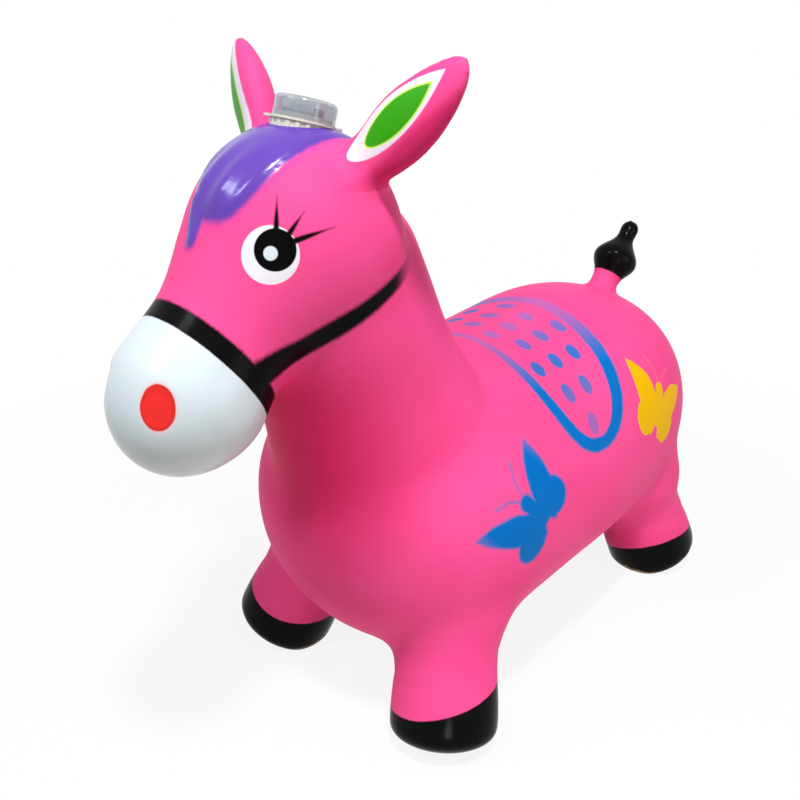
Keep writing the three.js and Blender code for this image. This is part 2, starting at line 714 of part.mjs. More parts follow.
// The collar's outline, with a rib at even turns
function ribbedOutline() {
  const outline = new THREE.Shape();
  const pitch = (2 * Math.PI) / COLLAR_RIBS;
  for (let rib = 0; rib < COLLAR_RIBS; rib += 1) {
    for (const [turn, radius] of [
      [0, collarRadius],
      [0.5, collarRadius],
      [0.56, collarTip],
      [0.94, collarTip],
    ]) {
      const angle = (rib + turn) * pitch;
      outline[rib + turn === 0 ? "moveTo" : "lineTo"](radius * Math.cos(angle), radius * Math.sin(angle));
    }
  }
  return outline;
}

// The flange's outline with a finger tab at each side
function flangeOutline() {
  const outline = new THREE.Shape();
  const reach = flangeRadius + TAB_LENGTH;
  const turn = Math.asin(TAB_WIDTH / 2 / flangeRadius);
  outline.moveTo(flangeRadius * Math.cos(turn), TAB_WIDTH / 2);
  outline.absarc(0, 0, flangeRadius, turn, Math.PI - turn);
  outline.quadraticCurveTo(-reach, TAB_WIDTH / 2, -reach, 0);
  outline.quadraticCurveTo(-reach, -TAB_WIDTH / 2, -flangeRadius * Math.cos(turn), -TAB_WIDTH / 2);
  outline.absarc(0, 0, flangeRadius, Math.PI + turn, 2 * Math.PI - turn);
  outline.quadraticCurveTo(reach, -TAB_WIDTH / 2, reach, 0);
  outline.quadraticCurveTo(reach, TAB_WIDTH / 2, flangeRadius * Math.cos(turn), TAB_WIDTH / 2);
  return outline;
}

function moduleBase() {
  const wall = cylinder(cupRadius, cupBottom, SPIGOT_HEIGHT, CUP_SIDES);
  const collar = plate(ribbedOutline(), collarBottom, -FLANGE_THICKNESS / 2);
  const flange = plate(flangeOutline(), -FLANGE_THICKNESS, 0, 10);
  const bore = cylinder(cupBore, -CUP_DEPTH, SPIGOT_HEIGHT + CUP_WALL, CUP_SIDES);
  const cup = solidOf(wall).add(solidOf(collar)).add(solidOf(flange)).subtract(solidOf(bore));
  const bosses = [-screwCircle, screwCircle].map((y) => {
    const post = cylinder(BOSS_DIAMETER / 2, cupBottom + CUP_FLOOR / 2, boardBottom - SEAT_GAP);
    const hole = cylinder(screwHole, screwEnd - SEAT_GAP, 0);
    return solidOf(post).subtract(solidOf(hole)).translate(0, y, 0);
  });
  return geometryOf(cup.add(bosses[0]).add(bosses[1]));
}

// A rounded edge's points, from the wall up to the top
function edge(radius, top, round, steps = 3) {
  return Array.from({ length: steps + 1 }, (_, step) => {
    const angle = (Math.PI / 2) * (step / steps);
    return [radius - round + round * Math.cos(angle), top - round + round * Math.sin(angle)];
  });
}

function moduleCap() {
  const outside = edge(capRadius, capCeiling + CAP_WALL, CAP_EDGE_RADIUS);
  const inside = edge(capBore, capCeiling, CAP_EDGE_RADIUS - CAP_WALL).reverse();
  const walls = [[capBore, SEAT_GAP], [capRadius, SEAT_GAP], ...outside, [0, capCeiling + CAP_WALL]];
  return revolve([...walls, [0, capCeiling], ...inside, [capBore, SEAT_GAP]], CUP_SIDES);
}

function circuitBoard() {
  const disc = new THREE.Shape().absarc(0, 0, boardRadius, 0, 2 * Math.PI);
  for (const y of [-screwCircle, screwCircle]) {
    disc.holes.push(new THREE.Path().absarc(0, y, screwHole, 0, 2 * Math.PI));
  }
  return plate(disc, boardBottom, 0, 12);
}

// A cradle with cut corners, open above, that the row of cells lies in
function batteryHolder() {
  const cut = holderSide - HOLDER_END_WIDTH / 2;
  const outline = new THREE.Shape();
  outline.moveTo(holderHalf, HOLDER_END_WIDTH / 2);
  outline.lineTo(holderHalf - cut, holderSide);
  outline.lineTo(cut - holderHalf, holderSide);
  outline.lineTo(-holderHalf, HOLDER_END_WIDTH / 2);
  outline.lineTo(-holderHalf, -HOLDER_END_WIDTH / 2);
  outline.lineTo(cut - holderHalf, -holderSide);
  outline.lineTo(holderHalf - cut, -holderSide);
  outline.lineTo(holderHalf, -HOLDER_END_WIDTH / 2);
  const block = plate(outline, SEAT_GAP, cellAxisZ);
  const rowRadius = CELL_DIAMETER / 2 + FIT_CLEARANCE;
  const row = cylinder(rowRadius, -stackLength / 2, stackLength / 2, 2 * SMALL_SIDES);
  row.rotateY(Math.PI / 2).translate(0, 0, cellAxisZ);
  return geometryOf(solidOf(block).subtract(solidOf(row))).translate(-HOLDER_SHIFT, 0, 0);
}

// A button cell lying along X, its stepped face towards +X
function buttonCell(at) {
  const radius = CELL_DIAMETER / 2;
  const body = CELL_HEIGHT - CELL_STEP;
  const rim = radius * 0.86;
  const cell = revolve([[0, 0], [radius, 0], [radius, body], [rim, CELL_HEIGHT], [0, CELL_HEIGHT]]);
  return cell.rotateY(Math.PI / 2).translate(at, 0, cellAxisZ);
}

function contactSpring() {
  const radius = (CONTACT_SPRING_DIAMETER - CONTACT_WIRE) / 2;
  const rise = CONTACT_SPRING_LENGTH - CONTACT_WIRE;
  const coil = new Coil(radius, radius * 0.55, CONTACT_SPRING_TURNS, rise);
  const wire = wound("contact_spring", coil, CONTACT_WIRE).translate(0, 0, CONTACT_WIRE / 2);
  return wire.rotateY(Math.PI / 2).translate(stackStart + SEAT_GAP, 0, cellAxisZ);
}

function contactPlate() {
  const half = CONTACT_PLATE_WIDTH / 2;
  const leaf = new THREE.Shape();
  leaf.moveTo(-half, -half);
  leaf.lineTo(half, -half);
  leaf.lineTo(half, half / 2);
  leaf.quadraticCurveTo(half, half, half / 2, half);
  leaf.lineTo(-half / 2, half);
  leaf.quadraticCurveTo(-half, half, -half, half / 2);
  const sheet = plate(leaf, 0, CONTACT_PLATE_THICKNESS);
  return sheet.rotateY(Math.PI / 2).translate(stackEnd - SEAT_GAP - CONTACT_PLATE_THICKNESS, 0, cellAxisZ);
}

// A small board standing on edge beside the cells, with its chip under a round blob
function soundBoard() {
  const half = SOUND_BOARD_LENGTH / 2;
  const notch = SOUND_BOARD_THICKNESS;
  const outline = new THREE.Shape();
  outline.moveTo(-half, 0);
  outline.lineTo(half, 0);
  outline.lineTo(half, SOUND_BOARD_HEIGHT - notch);
  outline.lineTo(half - notch, SOUND_BOARD_HEIGHT - notch);
  outline.lineTo(half - notch, SOUND_BOARD_HEIGHT);
  outline.lineTo(-half, SOUND_BOARD_HEIGHT);
  return plate(outline, -SOUND_BOARD_THICKNESS / 2, SOUND_BOARD_THICKNESS / 2).rotateX(Math.PI / 2);
}

function chipBlob() {
  const radius = CHIP_DIAMETER / 2;
  const dome = revolve([
    [0, 0],
    [radius, 0],
    [radius * 0.86, CHIP_HEIGHT * 0.5],
    [radius * 0.5, CHIP_HEIGHT * 0.9],
    [0, CHIP_HEIGHT],
  ]);
  const face = SOUND_BOARD_THICKNESS / 2 + SEAT_GAP;
  return dome.rotateX(Math.PI / 2).translate(0, -face, SOUND_BOARD_HEIGHT / 2);
}

function ledLamp() {
  const radius = LED_DIAMETER / 2;
  const rim = radius * 1.2;
  const dome = edge(radius, LED_HEIGHT, radius);
  return revolve([[0, SEAT_GAP], [rim, SEAT_GAP], [rim, SEAT_GAP + 1], [radius, SEAT_GAP + 1], ...dome]);
}

function shakeSpring() {
  const radius = (SHAKE_SPRING_DIAMETER - SHAKE_WIRE) / 2;
  const coil = new Coil(radius, radius, SHAKE_SPRING_TURNS, SHAKE_SPRING_TURNS * SHAKE_SPRING_PITCH);
  return wound("shake_spring", coil, SHAKE_WIRE).translate(0, 0, SEAT_GAP + SHAKE_WIRE / 2);
}

function shakePin() {
  const radius = SHAKE_PIN_DIAMETER / 2;
  const top = SEAT_GAP + SHAKE_SPRING_TURNS * SHAKE_SPRING_PITCH + SHAKE_PIN_DIAMETER;
  return revolve([[0, SEAT_GAP], [radius, SEAT_GAP], ...edge(radius, top, radius)], SMALL_SIDES);
}

function boardScrew() {
  const radius = SCREW_DIAMETER / 2;
  const head = SCREW_HEAD_DIAMETER / 2;
  const top = SEAT_GAP + SCREW_HEAD_HEIGHT;
  const shank = [[0, screwEnd], [radius * 0.5, screwEnd], [radius, screwEnd + radius], [radius, SEAT_GAP]];
  return revolve([...shank, [head, SEAT_GAP], [head, top - radius / 2], [head * 0.7, top], [0, top]]);
}

function speakerFrame() {
  const magnet = MAGNET_DIAMETER / 2;
  return revolve([
    [0, 0],
    [magnet, 0],
    [magnet, MAGNET_HEIGHT],
    [speakerRadius, MAGNET_HEIGHT + SPEAKER_SHEET],
    [speakerRadius, SPEAKER_HEIGHT],
    [speakerRadius - SPEAKER_RIM, SPEAKER_HEIGHT],
    [speakerRadius - SPEAKER_RIM, MAGNET_HEIGHT + 2 * SPEAKER_SHEET],
    [magnet, MAGNET_HEIGHT + SPEAKER_SHEET],
    [0, MAGNET_HEIGHT + SPEAKER_SHEET],
  ], CUP_SIDES).translate(0, 0, SEAT_GAP - CUP_DEPTH);
}

function speakerCone() {
  const radius = speakerRadius - SPEAKER_RIM - FIT_CLEARANCE;
  const low = MAGNET_HEIGHT + SPEAKER_SHEET + SEAT_GAP;
  const high = Math.max(SPEAKER_HEIGHT - SPEAKER_SHEET, low + 2 * SPEAKER_SHEET);
  const cone = revolve([
    [0, low],
    [radius * 0.3, low],
    [radius * 0.85, high - SPEAKER_SHEET],
    [radius, high - SPEAKER_SHEET],
    [radius, high],
    [radius * 0.8, high],
    [radius * 0.3, low + SPEAKER_SHEET],
    [0, low + SPEAKER_SHEET],
  ], CUP_SIDES);
  return cone.translate(0, 0, SEAT_GAP - CUP_DEPTH);
}

// The air stopper: a flat head in a counterbore and a shank ringed with ribs
function valvePlug() {
  const shank = PLUG_SHANK_DIAMETER / 2;
  const head = PLUG_HEAD_DIAMETER / 2;
  const outline = [
    [0, PLUG_RECESS],
    [head - PLUG_RIB_HEIGHT, PLUG_RECESS],
    [head, PLUG_RECESS + PLUG_RIB_HEIGHT],
    [head, plugUnderside],
    [shank, plugUnderside],
  ];
  for (let rib = 0; rib < PLUG_RIB_COUNT; rib += 1) {
    const at = plugUnderside + PLUG_RIB_PITCH * (rib + 0.7);
    const width = PLUG_RIB_PITCH / 4;
    outline.push([shank, at - width], [plugRibRadius, at], [shank, at + width]);
  }
  const tip = plugUnderside + Math.max(PLUG_SHANK_LENGTH, PLUG_RIB_PITCH * (PLUG_RIB_COUNT + 1));
  return revolve([...outline, [shank, tip - shank / 4], [shank * 0.75, tip], [0, tip]]);
}

// Materials, by what the pieces are made of
const finish = (color, roughness, metalness = 0, more = {}) => () =>
  new THREE.MeshStandardMaterial({ color, roughness, metalness, ...more });
const pinkSkin = finish("#ef3f86", 0.42);
const whitePaint = finish("#f3efee", 0.3);
const purplePaint = finish("#6d3aa0", 0.35);
const blackPaint = finish("#16141a", 0.3);
const yellowPlastic = finish("#e6d9a0", 0.45);
const clearPlastic = finish("#eef2f4", 0.25, 0, { transparent: true, opacity: 0.45 });
const whitePlastic = finish("#eeeeec", 0.4);
const brownBoard = finish("#8a5a33", 0.6);
const blackResin = finish("#121212", 0.35);
const greyPlastic = finish("#5c6470", 0.5);
const cellSteel = finish("#b8bfc6", 0.3, 1);
const springSteel = finish("#c9ccd0", 0.25, 1);
const brass = finish("#c9a35a", 0.3, 1);
const greenLens = finish("#35c46a", 0.2, 0, { transparent: true, opacity: 0.8 });
const redLens = finish("#e0402f", 0.2, 0, { transparent: true, opacity: 0.8 });
const blueLens = finish("#3a6ae0", 0.2, 0, { transparent: true, opacity: 0.8 });
const paperCone = finish("#2b2b2e", 0.8);

// Assembly

function piece(group, name, geometry, material) {
  const mesh = new THREE.Mesh(geometry, material());
  mesh.name = name;
  group.add(mesh);
  return mesh;
}

const horse = new THREE.Group();
horse.name = "bouncy_horse_hopper";
horse.add(modulePlace, valvePlace);

const [headSkin, muzzleSkin] = headSkins();
const [tuft, stub] = tailSkins();
piece(horse, "torso_skin", torsoSkin(), pinkSkin);
piece(horse, "neck_skin", neckSkin(), pinkSkin);
piece(horse, "head_skin", headSkin, pinkSkin);
piece(horse, "muzzle_skin", muzzleSkin, whitePaint);
piece(horse, "forelock", forelock(), purplePaint);
piece(horse, "ear_left", ear(1), pinkSkin);
piece(horse, "ear_right", ear(-1), pinkSkin);
piece(horse, "tail_stub", stub, pinkSkin);
piece(horse, "tail_tuft", tuft, blackPaint);
for (const leg of legs) {
  const [limb, hoof] = legSkins(leg);
  piece(horse, `leg_${leg.name}`, limb, pinkSkin);
  piece(horse, `hoof_${leg.name}`, hoof, blackPaint);
}
piece(valvePlace, "valve_plug", valvePlug(), whitePlastic);

piece(moduleTurn, "module_base", moduleBase(), yellowPlastic);
piece(moduleTurn, "module_cap", moduleCap(), clearPlastic);
piece(moduleTurn, "circuit_board", circuitBoard(), brownBoard);
piece(moduleTurn, "battery_holder", batteryHolder(), greyPlastic);
for (let cell = 0; cell < CELL_COUNT; cell += 1) {
  const at = firstCell + cell * (CELL_HEIGHT + SEAT_GAP);
  piece(moduleTurn, `button_cell_${cell + 1}`, buttonCell(at), cellSteel);
}
piece(moduleTurn, "contact_spring", contactSpring(), springSteel);
piece(moduleTurn, "contact_plate", contactPlate(), brass);

const soundBoardPlace = new THREE.Group();
const turned = radians(SOUND_BOARD_TURN);
const boardReach = (SOUND_BOARD_LENGTH * Math.cos(turned) + SOUND_BOARD_THICKNESS * Math.sin(turned)) / 2;
const chipReach = (CHIP_HEIGHT + SEAT_GAP) * Math.sin(turned);
const boardStart = holderHalf - HOLDER_SHIFT + FIT_CLEARANCE;
soundBoardPlace.position.set(boardStart + boardReach, chipReach / 2, SEAT_GAP);
soundBoardPlace.rotation.z = turned;
moduleTurn.add(soundBoardPlace);
piece(soundBoardPlace, "sound_board", soundBoard(), brownBoard);
piece(soundBoardPlace, "chip_blob", chipBlob(), blackResin);

const lampRow = holderSide + FIT_CLEARANCE + LED_DIAMETER * 0.6;
for (const [name, x, y, lens] of [
  ["led_green", -LED_SPACING / 2, -lampRow, greenLens],
  ["led_red", LED_SPACING / 2, lampRow, redLens],
  ["led_blue", -LED_SPACING, lampRow, blueLens],
]) {
  piece(moduleTurn, name, ledLamp(), lens).position.set(x, y, 0);
}
const shakeRow = holderSide + FIT_CLEARANCE + SHAKE_SPRING_DIAMETER / 2;
piece(moduleTurn, "shake_spring", shakeSpring(), springSteel).position.set(-LED_SPACING / 2, shakeRow, 0);
piece(moduleTurn, "shake_pin", shakePin(), brass).position.set(-LED_SPACING / 2, shakeRow, 0);
piece(moduleTurn, "board_screw_1", boardScrew(), springSteel).position.y = -screwCircle;
piece(moduleTurn, "board_screw_2", boardScrew(), springSteel).position.y = screwCircle;
piece(moduleTurn, "speaker_frame", speakerFrame(), springSteel);
piece(moduleTurn, "speaker_cone", speakerCone(), paperCone);

// The origin is the middle of the ground that the toy covers
horse.updateMatrixWorld(true);
const middle = new THREE.Box3().setFromObject(horse, true).getCenter(new THREE.Vector3());
const part = new THREE.Group();
part.name = "part";
part.add(horse);
horse.position.set(-middle.x, -middle.y, 0);

export default part;
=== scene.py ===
"""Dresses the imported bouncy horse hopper: painted skin, light module, studio and camera."""

import json
import logging
import math
from collections.abc import Callable, Iterator
from contextlib import contextmanager
from dataclasses import dataclass, field
from enum import Enum

import bmesh
import bpy
from bpy.types import ID, Material, Mesh, Node, NodeSocket, NodeTree, Object
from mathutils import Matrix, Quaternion, Vector
from mathutils.bvhtree import BVHTree


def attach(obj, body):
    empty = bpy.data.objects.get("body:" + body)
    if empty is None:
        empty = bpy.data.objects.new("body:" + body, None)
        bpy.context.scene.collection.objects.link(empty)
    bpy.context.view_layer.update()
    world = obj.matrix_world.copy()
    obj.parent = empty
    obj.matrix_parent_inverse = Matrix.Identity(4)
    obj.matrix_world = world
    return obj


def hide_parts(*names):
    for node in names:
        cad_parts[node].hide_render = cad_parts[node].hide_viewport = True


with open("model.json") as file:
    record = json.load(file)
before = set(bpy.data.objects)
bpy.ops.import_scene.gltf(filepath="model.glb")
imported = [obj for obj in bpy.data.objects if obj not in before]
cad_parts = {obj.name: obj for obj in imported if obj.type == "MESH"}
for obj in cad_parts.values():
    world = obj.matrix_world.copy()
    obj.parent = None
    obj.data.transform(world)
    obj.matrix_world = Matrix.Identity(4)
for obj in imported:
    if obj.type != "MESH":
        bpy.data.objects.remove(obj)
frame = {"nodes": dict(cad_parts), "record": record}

log = logging.getLogger("horse_hopper")
logging.basicConfig(level=logging.INFO, format="%(name)s: %(message)s")

MM = 0.001
WELD = 1e-6
NOWHERE = 99.0
SMOOTHING = 0.5
SPINE_STEPS = 160
MODULE_LEAN = math.radians(17)
MODULE_PLACE = (0, -129.952, 444.529)
MODULE_AXIS = (0, math.sin(MODULE_LEAN), math.cos(MODULE_LEAN))
VALVE_PLACE = (0, 60.054, 48.686)

Pair = tuple[float, float]
Triple = tuple[float, float, float]
Colour = tuple[float, float, float, float]
Stations = tuple[Pair, ...]


# Small helpers


def smoothstep(low: float, high: float, value: float) -> float:
    """Eases from 0 at low to 1 at high."""
    share = min(max((value - low) / (high - low), 0.0), 1.0)
    return share * share * (3 - 2 * share)


def lerp(low: float, high: float, share: float) -> float:
    """The value a share of the way from low to high."""
    return low + (high - low) * share


def paint(red: int, green: int, blue: int) -> Colour:
    """A colour as seen on screen, 0 to 255, in the scene's linear terms."""

    def linear(level: int) -> float:
        """One channel in linear terms."""
        share = level / 255
        return share / 12.92 if share <= 0.04045 else ((share + 0.055) / 1.055) ** 2.4

    return linear(red), linear(green), linear(blue), 1.0


@contextmanager
def editing(mesh: Mesh) -> Iterator[bmesh.types.BMesh]:
    """A mesh opened for editing and written back afterwards."""
    bm = bmesh.new()
    bm.from_mesh(mesh)
    yield bm
    bm.to_mesh(mesh)
    bm.free()


def add_piece(name: str, data: ID) -> Object:
    """A piece with a mesh, lamp or camera, linked into the scene at the origin."""
    piece = bpy.data.objects.new(name, data)
    bpy.context.scene.collection.objects.link(piece)
    return piece


def add_aimed(name: str, data: ID, place: Triple, aim: Triple) -> Object:
    """A lamp or camera at a place, turned towards a point."""
    piece = add_piece(name, data)
    piece.location = place
    piece.rotation_euler = (Vector(aim) - Vector(place)).to_track_quat("-Z", "Y").to_euler()
    return piece


# Forms of the inflated skin, in millimetres


@dataclass(frozen=True)
class Form:
    """A rounded sleeve swept along a bent spine, as the moulding's limbs are.

    The section runs across and deep of the spine. A cup bends it into a leaf, and
    squareness above 2 fills its corners.
    """

    name: str
    start: Triple
    bend: Triple
    end: Triple
    width: Stations
    depth: Stations
    start_round: float
    end_round: float
    fullness: float = 2.0
    squareness: float = 2.0
    side: Triple = (1.0, 0.0, 0.0)
    thickness: float = 1.0
    cup: float = 0.0
    around: int = 72
    rings: int = 64
    spine: tuple[tuple[float, Vector], ...] = field(init=False, repr=False, compare=False)

    def __post_init__(self) -> None:
        """Measures the spine once, as distances and points along it."""
        points, travelled, last = [], 0.0, None
        for step in range(SPINE_STEPS + 1):
            point = self.curve(step / SPINE_STEPS)
            travelled += (point - last).length if last is not None else 0.0
            points.append((travelled, point))
            last = point
        object.__setattr__(self, "spine", tuple(points))

    @property
    def length(self) -> float:
        """Length of the spine."""
        return self.spine[-1][0]

    def curve(self, share: float) -> Vector:
        """A point of the spine's curve."""
        low = Vector(self.start).lerp(Vector(self.bend), share)
        return low.lerp(Vector(self.bend).lerp(Vector(self.end), share), share)

    def at(self, place: float) -> tuple[Vector, Vector]:
        """Where the spine is and where it heads at a share of its length.

        Args:
            place: Share of the spine's length, 0 to 1.

        Returns:
            The point and the unit direction.
        """
        target = place * self.length
        for (low, before), (high, after) in zip(self.spine, self.spine[1:]):
            if high >= target:
                share = (target - low) / (high - low)
                return before.lerp(after, share), (after - before).normalized()
        return self.spine[-1][1].copy(), (self.spine[-1][1] - self.spine[-2][1]).normalized()

    def axes(self, along: Vector) -> tuple[Vector, Vector]:
        """The directions across the section and out of its front."""
        side = Vector(self.side)
        across = (side - along * side.dot(along)).normalized()
        return across, across.cross(along)

    @staticmethod
    def eased(stations: Stations, place: float) -> float:
        """A size that eases from station to station."""
        for (low, before), (high, after) in zip(stations, stations[1:]):
            if place < high:
                return lerp(before, after, smoothstep(low, high, place))
        return stations[-1][1]

    def opened(self, distance: float, rounding: float) -> float:
        """How far a rounded end has opened at a distance from its tip."""
        rest = min(max(1 - distance / rounding, 0.0), 1.0)
        return max(1 - rest**self.fullness, 0.0) ** (1 / self.fullness)

    def place(self, unit: Vector) -> Vector:
        """Moves a point of a unit ball to its place on the sleeve.

        Args:
            unit: The point on the ball, whose pole is the start of the spine.

        Returns:
            The point on the sleeve, in millimetres.
        """
        share = (1 - unit.z) / 2
        centre, along = self.at(share)
        across, front = self.axes(along)
        open_now = self.opened(share * self.length, self.start_round)
        open_now *= self.opened((1 - share) * self.length, self.end_round)
        angle = math.atan2(unit.y, unit.x)
        u, v = math.cos(angle), math.sin(angle)
        if self.squareness != 2.0:
            fill = (abs(u) ** self.squareness + abs(v) ** self.squareness) ** (-1 / self.squareness)
            u, v = u * fill, v * fill
        v = self.thickness * v + self.cup * (u * u - 0.5)
        half_width = self.eased(self.width, share) / 2 * open_now
        half_depth = self.eased(self.depth, share) / 2 * open_now
        return centre + across * (u * half_width) + front * (v * half_depth)

    def build(self, bm: bmesh.types.BMesh) -> None:
        """Adds the sleeve to a mesh: a ball drawn out along the spine."""
        made = bmesh.ops.create_uvsphere(bm, u_segments=self.around, v_segments=self.rings, radius=1.0)
        for vert in made["verts"]:
            vert.co = self.place(vert.co.copy()) * MM

    def tree(self) -> BVHTree:
        """A search tree of the sleeve's own surface, in metres."""
        bm = bmesh.new()
        self.build(bm)
        found = BVHTree.FromBMesh(bm)
        bm.free()
        return found


@dataclass(frozen=True)
class Turned:
    """A body turned about an axis, in millimetres.

    Its outline is radius and height, and runs from the axis to the axis.
    """

    outline: Stations
    place: Triple
    axis: Triple
    steps: int = 96

    def build(self, bm: bmesh.types.BMesh) -> None:
        """Adds the body to a mesh: its outline spun once round."""
        turn = Vector((0, 0, 1)).rotation_difference(Vector(self.axis)).to_matrix()
        points = [turn @ Vector((radius, 0, height)) + Vector(self.place) for radius, height in self.outline]
        verts = [bm.verts.new(point * MM) for point in points]
        edges = [bm.edges.new(pair) for pair in zip(verts, verts[1:])]
        bmesh.ops.spin(
            bm, geom=verts + edges,
            cent=Vector(self.place) * MM, axis=Vector(self.axis), dvec=(0, 0, 0),
            angle=2 * math.pi, steps=self.steps, use_merge=True, use_duplicate=False,
        )
        bmesh.ops.remove_doubles(bm, verts=bm.verts[:], dist=WELD)
        bmesh.ops.recalc_face_normals(bm, faces=bm.faces[:])


class Side(Enum):
    """The two sides of the horse, as the sign of X."""

    LEFT = 1
    RIGHT = -1


@dataclass(frozen=True)
class HorseForms:
    """Sizes of the whole moulding, in millimetres."""

    chest: Triple = (0, -147, 148)
    middle: Triple = (0, 64, 154)
    rump: Triple = (0, 275, 167)
    neck_base: Triple = (0, -46, 160)
    neck_top: Triple = (0, -142, 396)
    occiput: Triple = (0, -82, 389.5)
    brow: Triple = (0, -172, 378)
    nose: Triple = (0, -259, 260)
    shoulder: Triple = (54, -48, 137)
    hip: Triple = (48, 186, 137)
    front_hoof: Triple = (96, -101, -4)
    rear_hoof: Triple = (83, 232, -4)
    far_hoof_out: float = 4
    leg_swell: Stations = ((0, 116), (0.3, 98), (0.54, 78), (0.82, 82))
    tail_root: Triple = (0, 209, 247)
    tail_lean: float = 40
    tail_length: float = 86
    tail_swell: Stations = ((0, 25), (0.3, 25), (0.52, 42), (0.8, 16), (0.9, 18))
    ear_root: Triple = (31, -132, 411)
    ear_spread: float = 43.4
    ear_sweep: float = 18.7
    ear_slant: float = -0.8
    ear_length: float = 109
    ear_width: Stations = ((0, 28), (0.5, 42.5), (1, 24))
    ear_depth: Stations = ((0, 30), (0.5, 31), (1, 18))
    ear_bend: float = 6
    far_ear_bend: float = 0
    far_ear_twist: float = 12

    def tail_axis(self) -> Vector:
        """The direction that the tail points in."""
        lean = math.radians(self.tail_lean)
        return Vector((0, math.sin(lean), math.cos(lean)))

    def ear_axis(self, side: Side) -> Vector:
        """The direction of one ear."""
        spread, sweep = math.radians(self.ear_spread), math.radians(self.ear_sweep)
        return Vector((side.value * math.sin(spread), math.sin(sweep), math.cos(spread))).normalized()

    @staticmethod
    def straight(name: str, start: Triple, end: Triple, **sizes: object) -> Form:
        """A form with a straight spine."""
        middle = Vector(start).lerp(Vector(end), 0.5)
        return Form(name, start, tuple(middle), end, **sizes)

    def leg(self, name: str, top: Triple, hoof: Triple, side: Side) -> Form:
        """One leg with its hoof."""
        start = (top[0] * side.value, top[1], top[2])
        out = self.far_hoof_out if side is Side.RIGHT else 0.0
        end = ((hoof[0] + out) * side.value, hoof[1], hoof[2])
        swell = self.leg_swell
        return self.straight(name, start, end, width=swell, depth=swell, start_round=30, end_round=17)

    def ear(self, side: Side) -> Form:
        """One ear, a thick leaf with a flat front."""
        axis = self.ear_axis(side)
        root = Vector((self.ear_root[0] * side.value, self.ear_root[1], self.ear_root[2]))
        across = Vector((1, 0, self.ear_slant * side.value)).normalized()
        bend = self.ear_bend if side is Side.LEFT else self.far_ear_bend
        middle = root + axis * (self.ear_length / 2) + across * (side.value * bend)
        if side is Side.RIGHT:
            across.rotate(Quaternion(axis, math.radians(-self.far_ear_twist)))
        return Form(
            f"ear_{side.name.lower()}", tuple(root), tuple(middle), tuple(root + axis * self.ear_length),
            width=self.ear_width, depth=self.ear_depth, start_round=20, end_round=29,
            side=tuple(across), thickness=0.84, cup=0.22,
        )

    def all(self) -> list[Form]:
        """Every form of the moulding."""
        tail_tip = tuple(Vector(self.tail_root) + self.tail_axis() * self.tail_length)
        swell = self.tail_swell
        forms = [
            Form(
                "torso", self.chest, self.middle, self.rump,
                width=((0, 244), (0.25, 244), (0.5, 240), (0.75, 226)),
                depth=((0, 220), (0.25, 220), (0.5, 214), (0.75, 228)),
                start_round=115, end_round=144, fullness=2.3, squareness=2.13, around=128, rings=112,
            ),
            self.straight(
                "neck", self.neck_base, self.neck_top,
                width=((0, 194), (0.6, 135), (1, 116)),
                depth=((0, 179), (0.6, 140), (1, 140)),
                start_round=44, end_round=52, around=96, rings=80,
            ),
            Form(
                "head", self.occiput, self.brow, self.nose,
                width=((0, 134), (0.27, 134), (0.62, 93), (0.8, 98)),
                depth=((0, 129), (0.27, 143), (0.62, 86), (0.8, 95)),
                start_round=43, end_round=56, around=96, rings=96,
            ),
            self.straight(
                "tail", self.tail_root, tail_tip, width=swell, depth=swell, start_round=9, end_round=9
            ),
        ]
        for side in Side:
            handed = side.name.lower()
            forms.append(self.leg(f"leg_front_{handed}", self.shoulder, self.front_hoof, side))
            forms.append(self.leg(f"leg_rear_{handed}", self.hip, self.rear_hoof, side))
            forms.append(self.ear(side))
        return forms


